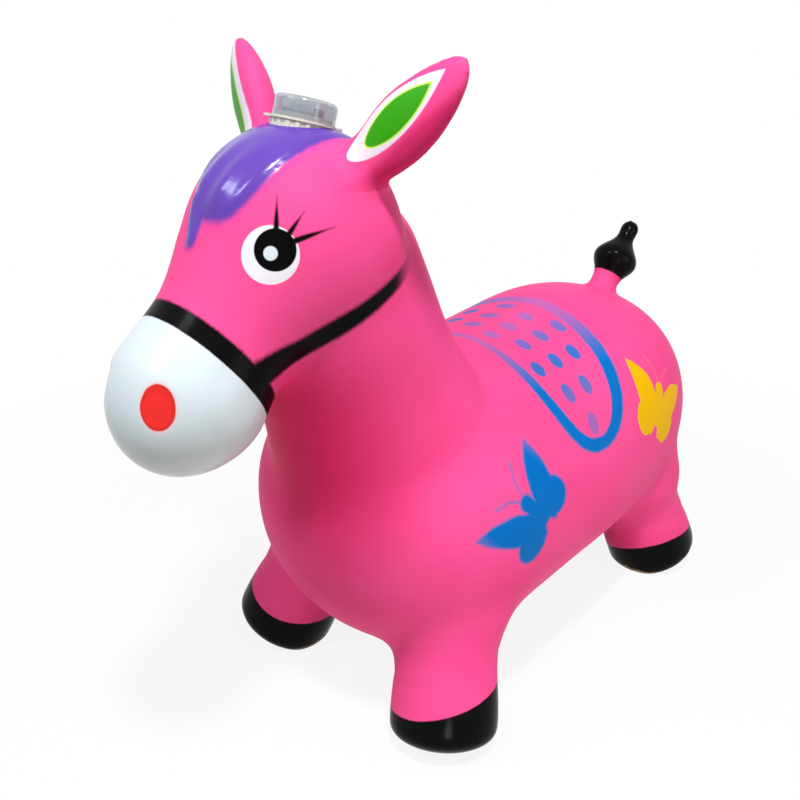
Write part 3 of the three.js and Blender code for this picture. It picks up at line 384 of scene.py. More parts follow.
@dataclass(frozen=True)
class Forelock:
    """The moulded lock of hair on the forehead, in millimetres down from the crown.

    Its powers shape the outline sideways, at its foot and behind. The curl gives lean,
    wave and number of waves, and the swell its height, place and spread.
    """

    crown: Triple = (0, -120, 432)
    slope: Pair = (0.8, 0.6)
    lowest: float = 365
    deepest: float = -34
    length: float = 88
    half_width: float = 30
    taper: float = 5.5
    back: float = 16
    powers: Triple = (3.2, 6, 4)
    relief: float = 2.0
    edge: Pair = (-4.5, 0.8)
    strand: float = 0.9
    strand_pitch: Pair = (0.36, 1.2)
    strand_start: Pair = (0.28, 0.8)
    strand_edge: Pair = (2.0, 9.0)
    curl: Triple = (7, 5, 2.6)
    swell: Triple = (1.1, 0.82, 0.16)
    tip_from: Pair = (-11, -78)
    tip_to: Pair = (-5.6, -100)
    tip_radius: Pair = (10, 4.6)

    def distance(self, at: Vector) -> tuple[float, float, float]:
        """How far outside the lock's outline a point is, negative inside.

        Args:
            at: The point on the skin.

        Returns:
            The distance, and the point's place sideways and up the forehead.
        """
        rel = at - Vector(self.crown)
        level, steep = self.slope
        across, up, front = rel.x, rel.y * level + rel.z * steep, -rel.y * steep + rel.z * level
        if front <= self.deepest or at.z <= self.lowest:
            return NOWHERE, across, up
        sideways, foot, behind = self.powers
        down = max(-up, 0.0) / self.length
        half = self.half_width - self.taper * down * down
        size = (abs(across) / half) ** sideways + down**foot + (max(up, 0.0) / self.back) ** behind
        body = (size ** (1 / sideways) - 1) * half
        (ax, ay), (bx, by) = self.tip_from, self.tip_to
        share = ((across - ax) * (bx - ax) + (up - ay) * (by - ay)) / ((bx - ax) ** 2 + (by - ay) ** 2)
        share = min(max(share, 0.0), 1.0)
        radius = lerp(*self.tip_radius, share)
        tip = math.hypot(across - lerp(ax, bx, share), up - lerp(ay, by, share)) - radius
        return min(body, tip), across, up

    def height(self, at: Vector) -> float:
        """How far the lock stands out of the forehead, with its strands."""
        distance, across, up = self.distance(at)
        raised = 1 - smoothstep(*self.edge, distance)
        if not raised:
            return 0.0
        down = max(-up, 0.0) / self.length
        lean, wave, waves = self.curl
        turn = across + lean * down * down + wave * math.sin(waves * down)
        pitch, twist = self.strand_pitch
        strands = math.cos(turn * pitch + twist * down) * smoothstep(*self.strand_start, down)
        high, place, spread = self.swell
        swell = high * math.exp(-(((down - place) / spread) ** 2))
        return raised * (
            self.relief + (swell + self.strand * strands) * smoothstep(*self.strand_edge, -distance)
        )


@dataclass(frozen=True)
class Nostril:
    """A shallow oval let into the muzzle, in millimetres."""

    centre: Triple = (26.2, -262.9, 311)
    half_width: float = 10.6
    half_height: float = 13.4
    sunk: float = 1.5
    rim: Pair = (0.55, 1.05)
    ahead_of: float = -235
    heights: Pair = (280, 340)
    across: Triple = (0.80, 0.60, 0.0)
    up: Triple = (-0.25, 0.30, 0.92)

    def radii(self) -> tuple[Vector, Vector]:
        """The directions sideways and up, such that a place on the rim measures 1 along them."""
        return (
            Vector(self.across).normalized() / self.half_width,
            Vector(self.up).normalized() / self.half_height,
        )

    def depth(self, at: Vector) -> float:
        """How deep the skin is let in at a point."""
        low, high = self.heights
        if at.y >= self.ahead_of or not low < at.z < high:
            return 0.0
        rel = Vector((abs(at.x), at.y, at.z)) - Vector(self.centre)
        across, up = self.radii()
        return self.sunk * (1 - smoothstep(*self.rim, math.hypot(rel.dot(across), rel.dot(up))))


@dataclass(frozen=True)
class HoofPaint:
    """The tilted lines where the hooves' black paint ends, in millimetres.

    Each line gives its height over the hoof's middle, its slope sideways and where
    that middle lies sideways.
    """

    front: Triple = (39, 0.35, 96)
    rear: Triple = (29, 0.42, 83)
    behind: float = 60
    far_raise: float = 6.0

    @staticmethod
    def rise(line: Triple, x: "float | Wire", z: "float | Wire") -> "float | Wire":
        """Height of a place over a line, on either side of the horse."""
        height, slope, middle = line
        return z - (x - middle) * slope - height


@dataclass(frozen=True)
class Fillet:
    """How softly two forms of the moulding run into each other, and on what stretch."""

    first: str
    second: str
    reach: float
    ahead_of: float = 1000.0
    behind: float = -1000.0
    fade: float = 25.0

    @classmethod
    def both_sides(cls, first: str, limb: str, reach: float) -> "tuple[Fillet, ...]":
        """The fillets of a form with a limb on either side."""
        return tuple(cls(first, f"{limb}_{side.name.lower()}", reach) for side in Side)

    def nearness(self, point: Vector, trees: dict[str, BVHTree]) -> float:
        """How close a point is to the seam of the two forms, 0 to 1."""
        reach = self.reach * MM
        first = trees[self.first].find_nearest(point, reach)[3]
        second = None if first is None else trees[self.second].find_nearest(point, reach)[3]
        if second is None:
            return 0.0
        y = point.y / MM
        within = 1 - smoothstep(self.ahead_of - self.fade, self.ahead_of + self.fade, y)
        within *= smoothstep(self.behind - self.fade, self.behind + self.fade, y)
        return within * smoothstep(0, 1, 1 - max(first, second) / reach)


@dataclass(frozen=True)
class Corners:
    """Corners that are rounded together, and how many times."""

    name: str
    turns: int
    fillets: tuple[Fillet, ...]


@dataclass
class HorseSkin:
    """The whole inflated skin: one continuous moulding with its relief and paint marks."""

    forms: HorseForms = HorseForms()
    forelock: Forelock = Forelock()
    nostril: Nostril = Nostril()
    hoof_paint: HoofPaint = HoofPaint()
    voxel: float = 2.76
    crease_rise: float = 22
    crease_depth: float = 0.5
    crease_width: float = 4.0
    crease_top: float = 90
    least_loss: float = 0.7
    given_back: float = 0.8
    evenings: int = 4
    ear_foot: float = 434
    ear_fade: float = 8
    ear_turns: int = 16
    tip_fade: Pair = (4, 16)
    tip_turns: int = 14
    last_turns: int = 5
    far_leaf: Pair = (11.8, 0.58)
    far_stretch: float = 0.45
    leaf_middle: float = 58
    leaf_foot: float = 412
    corners: tuple[Corners, ...] = (
        Corners("wide corners", 170, (
            Fillet("torso", "neck", 62, ahead_of=-104),
            Fillet("neck", "head", 80, behind=-142),
            Fillet("torso", "leg_front_left", 68),
            Fillet("torso", "leg_front_right", 60),
        )),
        Corners("corners", 70, (
            Fillet("neck", "head", 34),
            *Fillet.both_sides("torso", "leg_rear", 34),
            Fillet("leg_front_left", "leg_front_right", 34),
            Fillet("leg_rear_left", "leg_rear_right", 34),
        )),
        Corners("neck base", 26, (Fillet("torso", "neck", 20),)),
        Corners("roots", 14, (
            *Fillet.both_sides("head", "ear", 9),
            *Fillet.both_sides("neck", "ear", 9),
            Fillet("torso", "tail", 11),
        )),
    )
    pocket: Stations = (
        (0, -16.7), (17.75, -16.7), (17.75, -8.7), (19.95, -8.7),
        (19.95, -1.7), (23.75, -1.7), (23.75, 40), (0, 40),
    )
    valve: Stations = ((0, -30), (8.8, -30), (8.8, 3.7), (4.6, 3.7), (4.6, 16.7), (0, 16.7))
    nodes: tuple[str, ...] = (
        "torso_skin", "neck_skin", "head_skin", "muzzle_skin", "forelock", "ear_left", "ear_right",
        "leg_front_left", "leg_front_right", "leg_rear_left", "leg_rear_right",
        "hoof_front_left", "hoof_front_right", "hoof_rear_left", "hoof_rear_right",
        "tail_stub", "tail_tuft",
    )

    def build(self) -> Object:
        """Joins the forms into one skin, fills its corners and moulds its relief.

        Returns:
            The skin, riding on the horse and standing for its CAD nodes.
        """
        forms = self.forms.all()
        skin = add_piece("horse_skin", bpy.data.meshes.new("horse_forms"))
        with editing(skin.data) as bm:
            for form in forms:
                form.build(bm)
        fused = skin.modifiers.new("one skin", "REMESH")
        fused.mode = "VOXEL"
        fused.voxel_size = self.voxel * MM
        self.settle(skin)
        before = [(vert.co.copy(), vert.normal.copy()) for vert in skin.data.vertices]
        self.fill_corners(skin, {form.name: form.tree() for form in forms})
        self.settle(skin)
        self.keep_full(skin, before)
        self.mould(skin)
        self.cut_soles(skin)
        self.let_in(skin)
        self.mark(skin)
        skin.data.shade_smooth()
        skin.data.set_sharp_from_angle(angle=math.radians(55))
        log.info("horse skin has %d faces", len(skin.data.polygons))
        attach(skin, "horse")
        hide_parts(*self.nodes)
        return skin

    @staticmethod
    def settle(skin: Object) -> None:
        """Makes the modifiers' outcome the skin's own mesh."""
        depsgraph = bpy.context.evaluated_depsgraph_get()
        mesh = bpy.data.meshes.new_from_object(skin.evaluated_get(depsgraph))
        skin.modifiers.clear()
        skin.vertex_groups.clear()
        old = skin.data
        skin.data = mesh
        mesh.name = "horse_skin"
        bpy.data.meshes.remove(old)

    def fill_corners(self, skin: Object, trees: dict[str, BVHTree]) -> None:
        """Rounds the corners where forms meet, as blown PVC does, and the ears' rims.

        Args:
            skin: The joined skin.
            trees: The forms' own surfaces by name.
        """
        for corners in self.corners:
            self.soften(
                skin,
                corners.name,
                corners.turns,
                lambda point: max(fillet.nearness(point, trees) for fillet in corners.fillets),
            )
        tips = [Vector(self.forms.ear(side).end) for side in Side]
        low, high = self.ear_foot - self.ear_fade, self.ear_foot + self.ear_fade
        self.soften(skin, "ears", self.ear_turns, lambda point: smoothstep(low, high, point.z / MM))
        self.soften(
            skin,
            "ear tips",
            self.tip_turns,
            lambda point: 1 - smoothstep(*self.tip_fade, min((point / MM - tip).length for tip in tips)),
        )
        self.soften(skin, "skin", self.last_turns, lambda point: 1.0)

    @staticmethod
    def soften(skin: Object, name: str, turns: int, weigh: Callable[[Vector], float]) -> None:
        """Smooths the skin a number of times, each point as much as it is weighed, 0 to 1."""
        group = skin.vertex_groups.new(name=name)
        for vert in skin.data.vertices:
            weight = weigh(vert.co)
            if weight > 0:
                group.add([vert.index], weight, "REPLACE")
        smooth = skin.modifiers.new(name, "SMOOTH")
        smooth.factor = SMOOTHING
        smooth.iterations = turns
        smooth.vertex_group = name

    def keep_full(self, skin: Object, before: list[tuple[Vector, Vector]]) -> None:
        """Gives back what the rounding of corners took off the full forms.

        Args:
            skin: The rounded skin.
            before: Each point of the skin and its outward direction before the rounding.
        """
        with editing(skin.data) as bm:
            for vert, (place, outward) in zip(bm.verts, before):
                lost = (place - vert.co).dot(outward) - self.least_loss * MM
                if lost > 0 and place.z < self.ear_foot * MM:
                    vert.co += outward * (lost * self.given_back)
            for _ in range(self.evenings):
                bmesh.ops.smooth_vert(
                    bm, verts=bm.verts[:], factor=SMOOTHING, use_axis_x=True, use_axis_y=True, use_axis_z=True
                )

    def mould(self, skin: Object) -> None:
        """Raises the forelock, lets in the nostrils and creases the legs."""
        hooves = self.hoof_paint
        with editing(skin.data) as bm:
            bm.normal_update()
            for vert in bm.verts:
                at = vert.co / MM
                out = self.forelock.height(at) - self.nostril.depth(at)
                if at.z < self.crease_top:
                    line = hooves.rear if at.y > hooves.behind else hooves.front
                    gap = hooves.rise(line, abs(at.x), at.z) - self.crease_rise
                    out -= self.crease_depth * math.exp(-((gap / self.crease_width) ** 2))
                vert.co += vert.normal * (out * MM)

    @staticmethod
    def cut_soles(skin: Object) -> None:
        """Cuts the hooves flat on the floor and closes their soles."""
        with editing(skin.data) as bm:
            everything = bm.verts[:] + bm.edges[:] + bm.faces[:]
            bmesh.ops.bisect_plane(
                bm, geom=everything, dist=WELD, plane_co=(0, 0, 0), plane_no=(0, 0, -1), clear_outer=True
            )
            rim = [edge for edge in bm.edges if edge.is_boundary]
            bmesh.ops.holes_fill(bm, edges=rim, sides=0)
            bmesh.ops.recalc_face_normals(bm, faces=bm.faces[:])

    def let_in(self, skin: Object) -> None:
        """Lets the module's pocket and the stopper's valve into the skin."""
        cutter = add_piece("openings", bpy.data.meshes.new("openings"))
        with editing(cutter.data) as bm:
            Turned(self.pocket, MODULE_PLACE, MODULE_AXIS).build(bm)
            Turned(self.valve, VALVE_PLACE, (0, 0, 1)).build(bm)
        cut = skin.modifiers.new("openings", "BOOLEAN")
        cut.operation = "DIFFERENCE"
        cut.object = cutter
        self.settle(skin)
        bpy.data.meshes.remove(cutter.data)

    def mark(self, skin: Object) -> None:
        """Writes where the forelock and the ears' fronts lie, for the paint.

        The forelock mark is millimetres outside its outline. The ear mark is
        millimetres across, along and out of the front of the ear.
        """
        mesh = skin.data
        lock = mesh.attributes.new("forelock", "FLOAT", "POINT")
        ears = mesh.attributes.new("ear_place", "FLOAT_VECTOR", "POINT")
        frames = {}
        for side in Side:
            form, along = self.forms.ear(side), self.forms.ear_axis(side)
            frames[side] = (Vector(form.start), along, *form.axes(along))
        for vert in mesh.vertices:
            at = vert.co / MM
            lock.data[vert.index].value = self.forelock.distance(at)[0]
            side = Side.LEFT if at.x > 0 else Side.RIGHT
            root, along, across, front = frames[side]
            rel = at - root
            outward, upward = rel.dot(across) * side.value, rel.dot(along)
            if side is Side.RIGHT:
                outward = (outward - self.far_leaf[0]) * self.far_leaf[1]
                upward = lerp(self.leaf_middle, upward, self.far_stretch)
            if at.z < self.leaf_foot:
                upward = -NOWHERE
            ears.data[vert.index].vector = (outward, upward, rel.dot(front))


# Nodes of the materials


@dataclass(frozen=True)
class Wire:
    """What comes out of a node, to reckon with as with a number."""

    nodes: "Nodes"
    socket: NodeSocket

    def __add__(self, other: "Value") -> "Wire":
        """The sum."""
        return self.nodes.number("ADD", self, other)

    def __sub__(self, other: "Value") -> "Wire":
        """The difference."""
        return self.nodes.number("SUBTRACT", self, other)

    def __rsub__(self, other: "Value") -> "Wire":
        """The difference the other way round."""
        return self.nodes.number("SUBTRACT", other, self)

    def __mul__(self, other: "Value") -> "Wire":
        """The product."""
        return self.nodes.number("MULTIPLY", self, other)

    def __truediv__(self, other: "Value") -> "Wire":
        """The quotient."""
        return self.nodes.number("DIVIDE", self, other)

    def __pow__(self, other: "Value") -> "Wire":
        """The power."""
        return self.nodes.number("POWER", self, other)

    def __abs__(self) -> "Wire":
        """The size without its sign."""
        return self.nodes.number("ABSOLUTE", self)


Value = Wire | float | Triple | Colour


class Nodes:
    """Writes a node tree in terms of distances, masks and layers of paint."""

    columns = 12
    spacing = (180, -190)

    def __init__(self, tree: NodeTree) -> None:
        """Starts writing in a tree."""
        self.tree = tree
        self.count = 0

    def node(self, kind: str, **settings: object) -> Node:
        """A new node with its settings, set out in rows so that the tree can be read."""
        made = self.tree.nodes.new(kind)
        row, column = divmod(self.count, self.columns)
        made.location = (self.spacing[0] * (column - self.columns), self.spacing[1] * row)
        self.count += 1
        for name, setting in settings.items():
            setattr(made, name, setting)
        return made

    def feed(self, socket: NodeSocket, value: Value) -> None:
        """Sets or links one input."""
        if isinstance(value, Wire):
            self.tree.links.new(value.socket, socket)
        else:
            socket.default_value = value

    def make(self, kind: str, inputs: dict[int | str, Value], out: int | str = 0, **settings: object) -> Wire:
        """One output of a new node, with its inputs by place or name and its settings by name."""
        made = self.node(kind, **settings)
        for name, value in inputs.items():
            self.feed(made.inputs[name], value)
        return Wire(self, made.outputs[out])

    def number(self, operation: str, *values: Value, clamp: bool = False) -> Wire:
        """The outcome of a sum."""
        return self.make("ShaderNodeMath", dict(enumerate(values)), operation=operation, use_clamp=clamp)

    def vector(self, operation: str, *values: Value) -> Wire:
        """The outcome of a vector sum, a number for dot product, length and distance."""
        out = "Value" if operation in ("DOT_PRODUCT", "LENGTH", "DISTANCE") else "Vector"
        return self.make("ShaderNodeVectorMath", dict(enumerate(values)), out, operation=operation)

    def scaled(self, vector: Value, scale: Value) -> Wire:
        """A vector times a number."""
        return self.make("ShaderNodeVectorMath", {0: vector, "Scale": scale}, "Vector", operation="SCALE")

    def dot(self, vector: Value, along: Vector) -> Wire:
        """How far a vector reaches along a direction."""
        return self.vector("DOT_PRODUCT", vector, tuple(along))

    def combined(self, x: Value, y: Value, z: Value = 0.0) -> Wire:
        """A vector from three numbers."""
        return self.make("ShaderNodeCombineXYZ", {0: x, 1: y, 2: z})

    def separated(self, vector: Wire) -> list[Wire]:
        """The three numbers of a vector."""
        made = self.node("ShaderNodeSeparateXYZ")
        self.feed(made.inputs[0], vector)
        return [Wire(self, output) for output in made.outputs]

    def least(self, first: Value, *others: Value) -> Value:
        """The smallest of some numbers."""
        for other in others:
            first = self.number("MINIMUM", first, other)
        return first

    def ramp(
        self, value: Value, low: Value, high: Value, start: Value = 0.0, end: Value = 1.0, eased: bool = True
    ) -> Wire:
        """Goes from start at low to end at high, eased at both."""
        inputs = {"Value": value, "From Min": low, "From Max": high, "To Min": start, "To Max": end}
        return self.make("ShaderNodeMapRange", inputs, interpolation_type="SMOOTHSTEP" if eased else "LINEAR")

    def inside(self, distance: Value, edge: float) -> Wire:
        """A mask that is full where a distance is negative, with a soft edge."""
        return self.ramp(distance, -edge, edge, 1.0, 0.0)

    def layer(self, mask: Value, below: Value, above: Value) -> Wire:
        """One colour laid over another through a mask."""
        return self.make("ShaderNodeMix", {0: mask, 6: below, 7: above}, 2, data_type="RGBA")

    def shift(self, mask: Value, below: Value, above: Value) -> Wire:
        """One number laid over another through a mask."""
        return self.make("ShaderNodeMix", {0: mask, 2: below, 3: above}, data_type="FLOAT")

    def mark(self, name: str, out: str) -> Wire:
        """A mark that the piece carries in its mesh."""
        return self.make("ShaderNodeAttribute", {}, out, attribute_name=name)

    def place(self) -> Wire:
        """Object coordinates in millimetres, through a mapping."""
        coordinates = self.make("ShaderNodeTexCoord", {}, "Object")
        return self.make("ShaderNodeMapping", {"Vector": coordinates, "Scale": (1 / MM, 1 / MM, 1 / MM)})

    def noise(self, place: Wire, size: float, detail: float = 3.0) -> Wire:
        """Noise with features of a size in millimetres, about 0 to 1."""
        return self.make("ShaderNodeTexNoise", {"Vector": place, "Scale": 1 / size, "Detail": detail}, "Fac")

    def seen(self) -> Wire:
        """A mask that is full for the camera, also in mirrors and through clear pieces."""
        path = self.node("ShaderNodeLightPath")
        camera, mirror, clear = (
            Wire(self, path.outputs[f"Is {ray} Ray"]) for ray in ("Camera", "Glossy", "Transmission")
        )
        return self.number("ADD", camera + mirror, clear, clamp=True)

    def stroke(self, place: Wire, start: Triple, end: Triple) -> tuple[Wire, Wire]:
        """The distance from a stroke between two points, and the share of the way along it."""
        stroke = Vector(end) - Vector(start)
        rel = self.vector("SUBTRACT", place, start)
        share = self.number("MULTIPLY", self.dot(rel, stroke / stroke.length_squared), 1.0, clamp=True)
        return self.vector("DISTANCE", rel, self.scaled(tuple(stroke), share)), share

    def bent_stroke(self, place: Wire, points: tuple[Triple, ...]) -> Value:
        """Distance from a stroke through some points."""
        return self.least(*(self.stroke(place, *ends)[0] for ends in zip(points, points[1:])))


class MaterialNodes(Nodes):
    """Writes the nodes of one material."""

    def __init__(self, name: str) -> None:
        """Starts a material with its shader."""
        self.material: Material = bpy.data.materials.new(name)
        self.material.use_nodes = True
        super().__init__(self.material.node_tree)
        self.shader: Node = self.tree.nodes["Principled BSDF"]

    def finish(self, **inputs: Value) -> Material:
        """Feeds the shader by input name, with blanks written as underscores."""
        for name, value in inputs.items():
            self.feed(self.shader.inputs[name.replace("_", " ").title().replace("Ior", "IOR")], value)
        return self.material


# Paint of the skin


class Hue(Enum):
    """The colours of the toy, as seen on screen, and the deeper pinks of painted shade."""

    PINK = (254, 86, 155)
    PINK_DEEP = (244, 54, 128)
    # Painted shade: the deeper pink on the ears' outer sides, which turn away from the light.
    EAR_PINK = (214, 32, 98)
    # Painted shade: the deeper pink round the throat, where the head shades the neck and chest.
    THROAT = (238, 40, 108)
    WHITE = (217, 228, 235)
    BLACK = (9, 8, 9)
    PURPLE = (96, 60, 172)
    OVERSPRAY = (200, 60, 170)
    NOSTRIL = (244, 40, 36)
    NOSTRIL_DEEP = (188, 18, 24)
    HALO = (250, 196, 196)
    EYE = (240, 236, 244)
    GREEN = (52, 160, 8)
    LIME = (196, 240, 84)
    EAR_WHITE = (240, 232, 246)
    BLUE = (0, 112, 196)
    LILAC = (170, 120, 214)
    YELLOW = (244, 188, 2)
    SOLE = (178, 166, 136)

    def linear(self) -> Colour:
        """The colour in the scene's linear terms."""
        return paint(*self.value)


class Gloss(Enum):
    """Roughness, clear coat and specular level of the bare skin and of each paint."""

    SKIN = (0.5, 0.0, 0.05)
    SADDLE = (0.46, 0.0, 0.08)
    BUTTERFLY = (0.46, 0.0, 0.06)
    HARNESS = (0.3, 0.03, 0.03)
    MUZZLE = (0.3, 0.1, 0.3)
    HAIR = (0.22, 0.15, 0.32)
    EYE = (0.42, 0.0, 0.03)
    EAR = (0.42, 0.0, 0.2)
    HOOF = (0.22, 0.05, 0.03)
    SOLE = (0.6, 0.0, 0.1)


class Canvas(MaterialNodes):
    """The skin's material while it is painted: where each place lies and what covers it.

    Folded places are the same on both sides of the horse. The wobble makes a stencil's
    edge unsteady, and the spray is the fine grain of an airbrush.
    """

    wobble_size = 9.0
    spray_size = 1.6

    def __init__(self, name: str) -> None:
        """Starts with the bare skin."""
        super().__init__(name)
        self.at = self.place()
        self.x, self.y, self.z = self.separated(self.at)
        self.folded_x = abs(self.x)
        self.folded = self.combined(self.folded_x, self.y, self.z)
        self.wobble = self.noise(self.at, self.wobble_size) - 0.5
        self.spray = self.noise(self.at, self.spray_size, 2.0) - 0.5
        self.colour: Value = Hue.PINK.linear()
        self.gloss: list[Value] = list(Gloss.SKIN.value)

    def lay(self, mask: Value, colour: Hue | Wire, gloss: Gloss | None = None) -> None:
        """Lays a paint over what is there so far.

        Args:
            mask: Where it goes, 0 to 1.
            colour: Its colour.
            gloss: Its gloss, if it differs from what is below.
        """
        above = colour.linear() if isinstance(colour, Hue) else colour
        self.colour = self.layer(mask, self.colour, above)
        if gloss is not None:
            self.gloss = [self.shift(mask, old, new) for old, new in zip(self.gloss, gloss.value)]


@dataclass(frozen=True)
class Saddle:
    """The saddle stencilled over the back: an outline and rows of dots.

    The outline is a rounded box in the angle around the barrel and the way along it.
    It thins out to lilac towards the top of the back. Lengths are millimetres, and
    drop and row height are angles around the barrel.
    """

    barrel: float = 118.0
    barrel_height: float = 157.0
    middle: float = 76.0
    rake: float = -14.2
    half_length: float = 43.0
    drop: float = 1.21
    power: float = 4.4
    least_slope: float = 0.004
    foot: Pair = (120.0, 130.0)
    row_height: float = 0.25
    row_start: float = 0.72
    column: float = 22.0
    column_start: float = -0.3
    dot_radii: Pair = (5.6, 9.2)
    dots_within: float = 0.56
    dots_drop: float = 0.95
    dots_foot: Pair = (150.0, 160.0)

    def dress(self, canvas: Canvas) -> None:
        """Lays the outline and the dots on the skin."""
        upward = canvas.z - self.barrel_height
        angle = canvas.number("ARCTAN2", canvas.folded_x, upward)
        along = canvas.y - (angle * self.rake + self.middle)
        over, under = along / self.half_length, angle / self.drop
        size = over * over + under**self.power
        slope = canvas.combined(
            over * (2 / self.half_length),
            under ** (self.power - 1) * (self.power / self.drop / self.barrel),
            self.least_slope,
        )
        distance = (size - 1.0) / canvas.vector("LENGTH", slope) + canvas.wobble * 1.6
        width = canvas.ramp(angle, 0.2, 1.0, 3.9, 5.4) + canvas.ramp(along, 0.0, 36.0, 0.0, 2.0)
        faded = canvas.ramp(angle, 0.1, 0.75, 0.5, 1.0) * canvas.ramp(canvas.z, *self.foot)
        hue = canvas.layer(canvas.ramp(angle, -0.35, 0.32), Hue.LILAC.linear(), Hue.BLUE.linear())
        canvas.lay(canvas.inside(abs(distance) - width, 1.5) * faded, hue, Gloss.SADDLE)
        fresh = canvas.ramp(abs(angle - 0.6), 0.0, 0.6, 0.95, 0.6) * canvas.ramp(canvas.z, *self.dots_foot)
        canvas.lay(self.dots(canvas, canvas.number("ARCTAN2", canvas.x, upward), along) * fresh, hue)

    def dots(self, canvas: Canvas, angle: Wire, along: Wire) -> Wire:
        """A mask of staggered rows of dots, each whole, well inside the outline.

        Args:
            canvas: The skin's material.
            angle: The angle around the barrel, with its sign.
            along: Millimetres along it from the saddle's middle.

        Returns:
            The mask.
        """
        row_place = angle / self.row_height + self.row_start
        row = canvas.number("ROUND", row_place)
        row_off = row_place - row
        stagger = canvas.number("PINGPONG", row, 1.0) * 0.5
        column_place = along / self.column + (stagger + self.column_start)
        column_off = column_place - canvas.number("ROUND", column_place)
        wide, high = self.dot_radii
        off = canvas.combined(
            column_off * (self.column / wide), row_off * (self.row_height * self.barrel / high)
        )
        dot = canvas.ramp(canvas.vector("LENGTH", off) + canvas.wobble * 0.35, 0.8, 1.15, 1.0, 0.0)
        over = (along - column_off * self.column) / self.half_length
        under = abs((angle - row_off * self.row_height) * (self.dots_drop / self.drop))
        return dot * canvas.number("LESS_THAN", over * over + under**self.power, self.dots_within)


@dataclass(frozen=True)
class Butterfly:
    """A plain butterfly stencilled on the flank, seen from the side, in millimetres.

    Wings are circles and the body is a stroke, all measured down from the head and
    sideways: each wing's middle and radius, and the body's start, end and half width.
    """

    head: Pair
    tail_turn: float
    hue: Hue
    feelers: float
    softness: float
    sweep: float = 0.0
    shrink: float = 1.0
    fore_wing: Triple = (24.0, 35.0, 33.5)
    trailing_edge: Triple = (-25.0, -40.0, 81.0)
    hind_wing: Triple = (28.0, 17.5, 14.6)
    body: Triple = (2.5, 27.0, 6.0)
    feeler: tuple[Triple, ...] = ((-2.0, 1.8, 0.0), (-12.0, 6.8, 0.0), (-18.5, 16.2, 0.0))
    feeler_width: float = 1.2
    wing_tip: Pair = (30.0, 44.0)
    thinning: float = 0.15
    flank: Pair = (40.0, 60.0)

    def dress(self, canvas: Canvas) -> None:
        """Stencils two wings a side, the body and the feelers on both flanks."""
        turn = math.radians(self.tail_turn)
        cos, sin = math.cos(turn), math.sin(turn)
        rel_y, rel_z = canvas.y - self.head[0], canvas.z - self.head[1]
        down, side = rel_y * cos + rel_z * sin, rel_z * cos - rel_y * sin
        below = canvas.number("LESS_THAN", side, 0.0)
        side = abs(side) * canvas.shift(below, 1.0, self.shrink)
        at = canvas.combined(down, side)
        swept = canvas.combined(down + below * side * self.sweep, side)
        lead, trail, hind = (
            canvas.vector("DISTANCE", place, (middle, out, 0.0)) - radius
            for place, (middle, out, radius) in (
                (swept, self.fore_wing),
                (swept, self.trailing_edge),
                (at, self.hind_wing),
            )
        )
        start, end, half = self.body
        body = canvas.bent_stroke(at, ((start, 0.0, 0.0), (end, 0.0, 0.0))) - half
        whole = canvas.least(canvas.number("MAXIMUM", lead, trail), hind, body) + canvas.wobble * 2.2
        feeler = canvas.inside(canvas.bent_stroke(at, self.feeler) - self.feeler_width, 1.0) * self.feelers
        thin = canvas.ramp(side, *self.wing_tip, 1.0, 1.0 - self.thinning * self.softness)
        wings = canvas.inside(whole, self.softness) * thin
        mask = canvas.number("MAXIMUM", wings, feeler) * canvas.ramp(canvas.folded_x, *self.flank)
        canvas.lay(mask, self.hue, Gloss.BUTTERFLY)


@dataclass(frozen=True)
class Leaf:
    """A leaf painted on the ears, blunt below and pointed above, in millimetres."""

    hue: Hue
    middle: float
    foot: float
    tip: float
    half_width: float
    edge: float
    gloss: Gloss | None = None
    fullness: float = 1.87
    end_edge: float = 0.5

    def mask(self, canvas: Canvas, across: Wire, along: Wire) -> Wire:
        """Where the leaf is, by millimetres across and along the ear."""
        share = canvas.ramp(along, self.foot, self.tip, eased=False)
        width = share**0.5 * (1.0 - share**2.0) * (self.half_width * self.fullness)
        off = abs(across - self.middle) - width
        foot, tip = (canvas.inside(end, self.end_edge) for end in (self.foot - along, along - self.tip))
        return canvas.inside(off, self.edge) * foot * tip


@dataclass(frozen=True)
class Lash:
    """One painted eyelash."""

    root: Triple
    tip: Triple


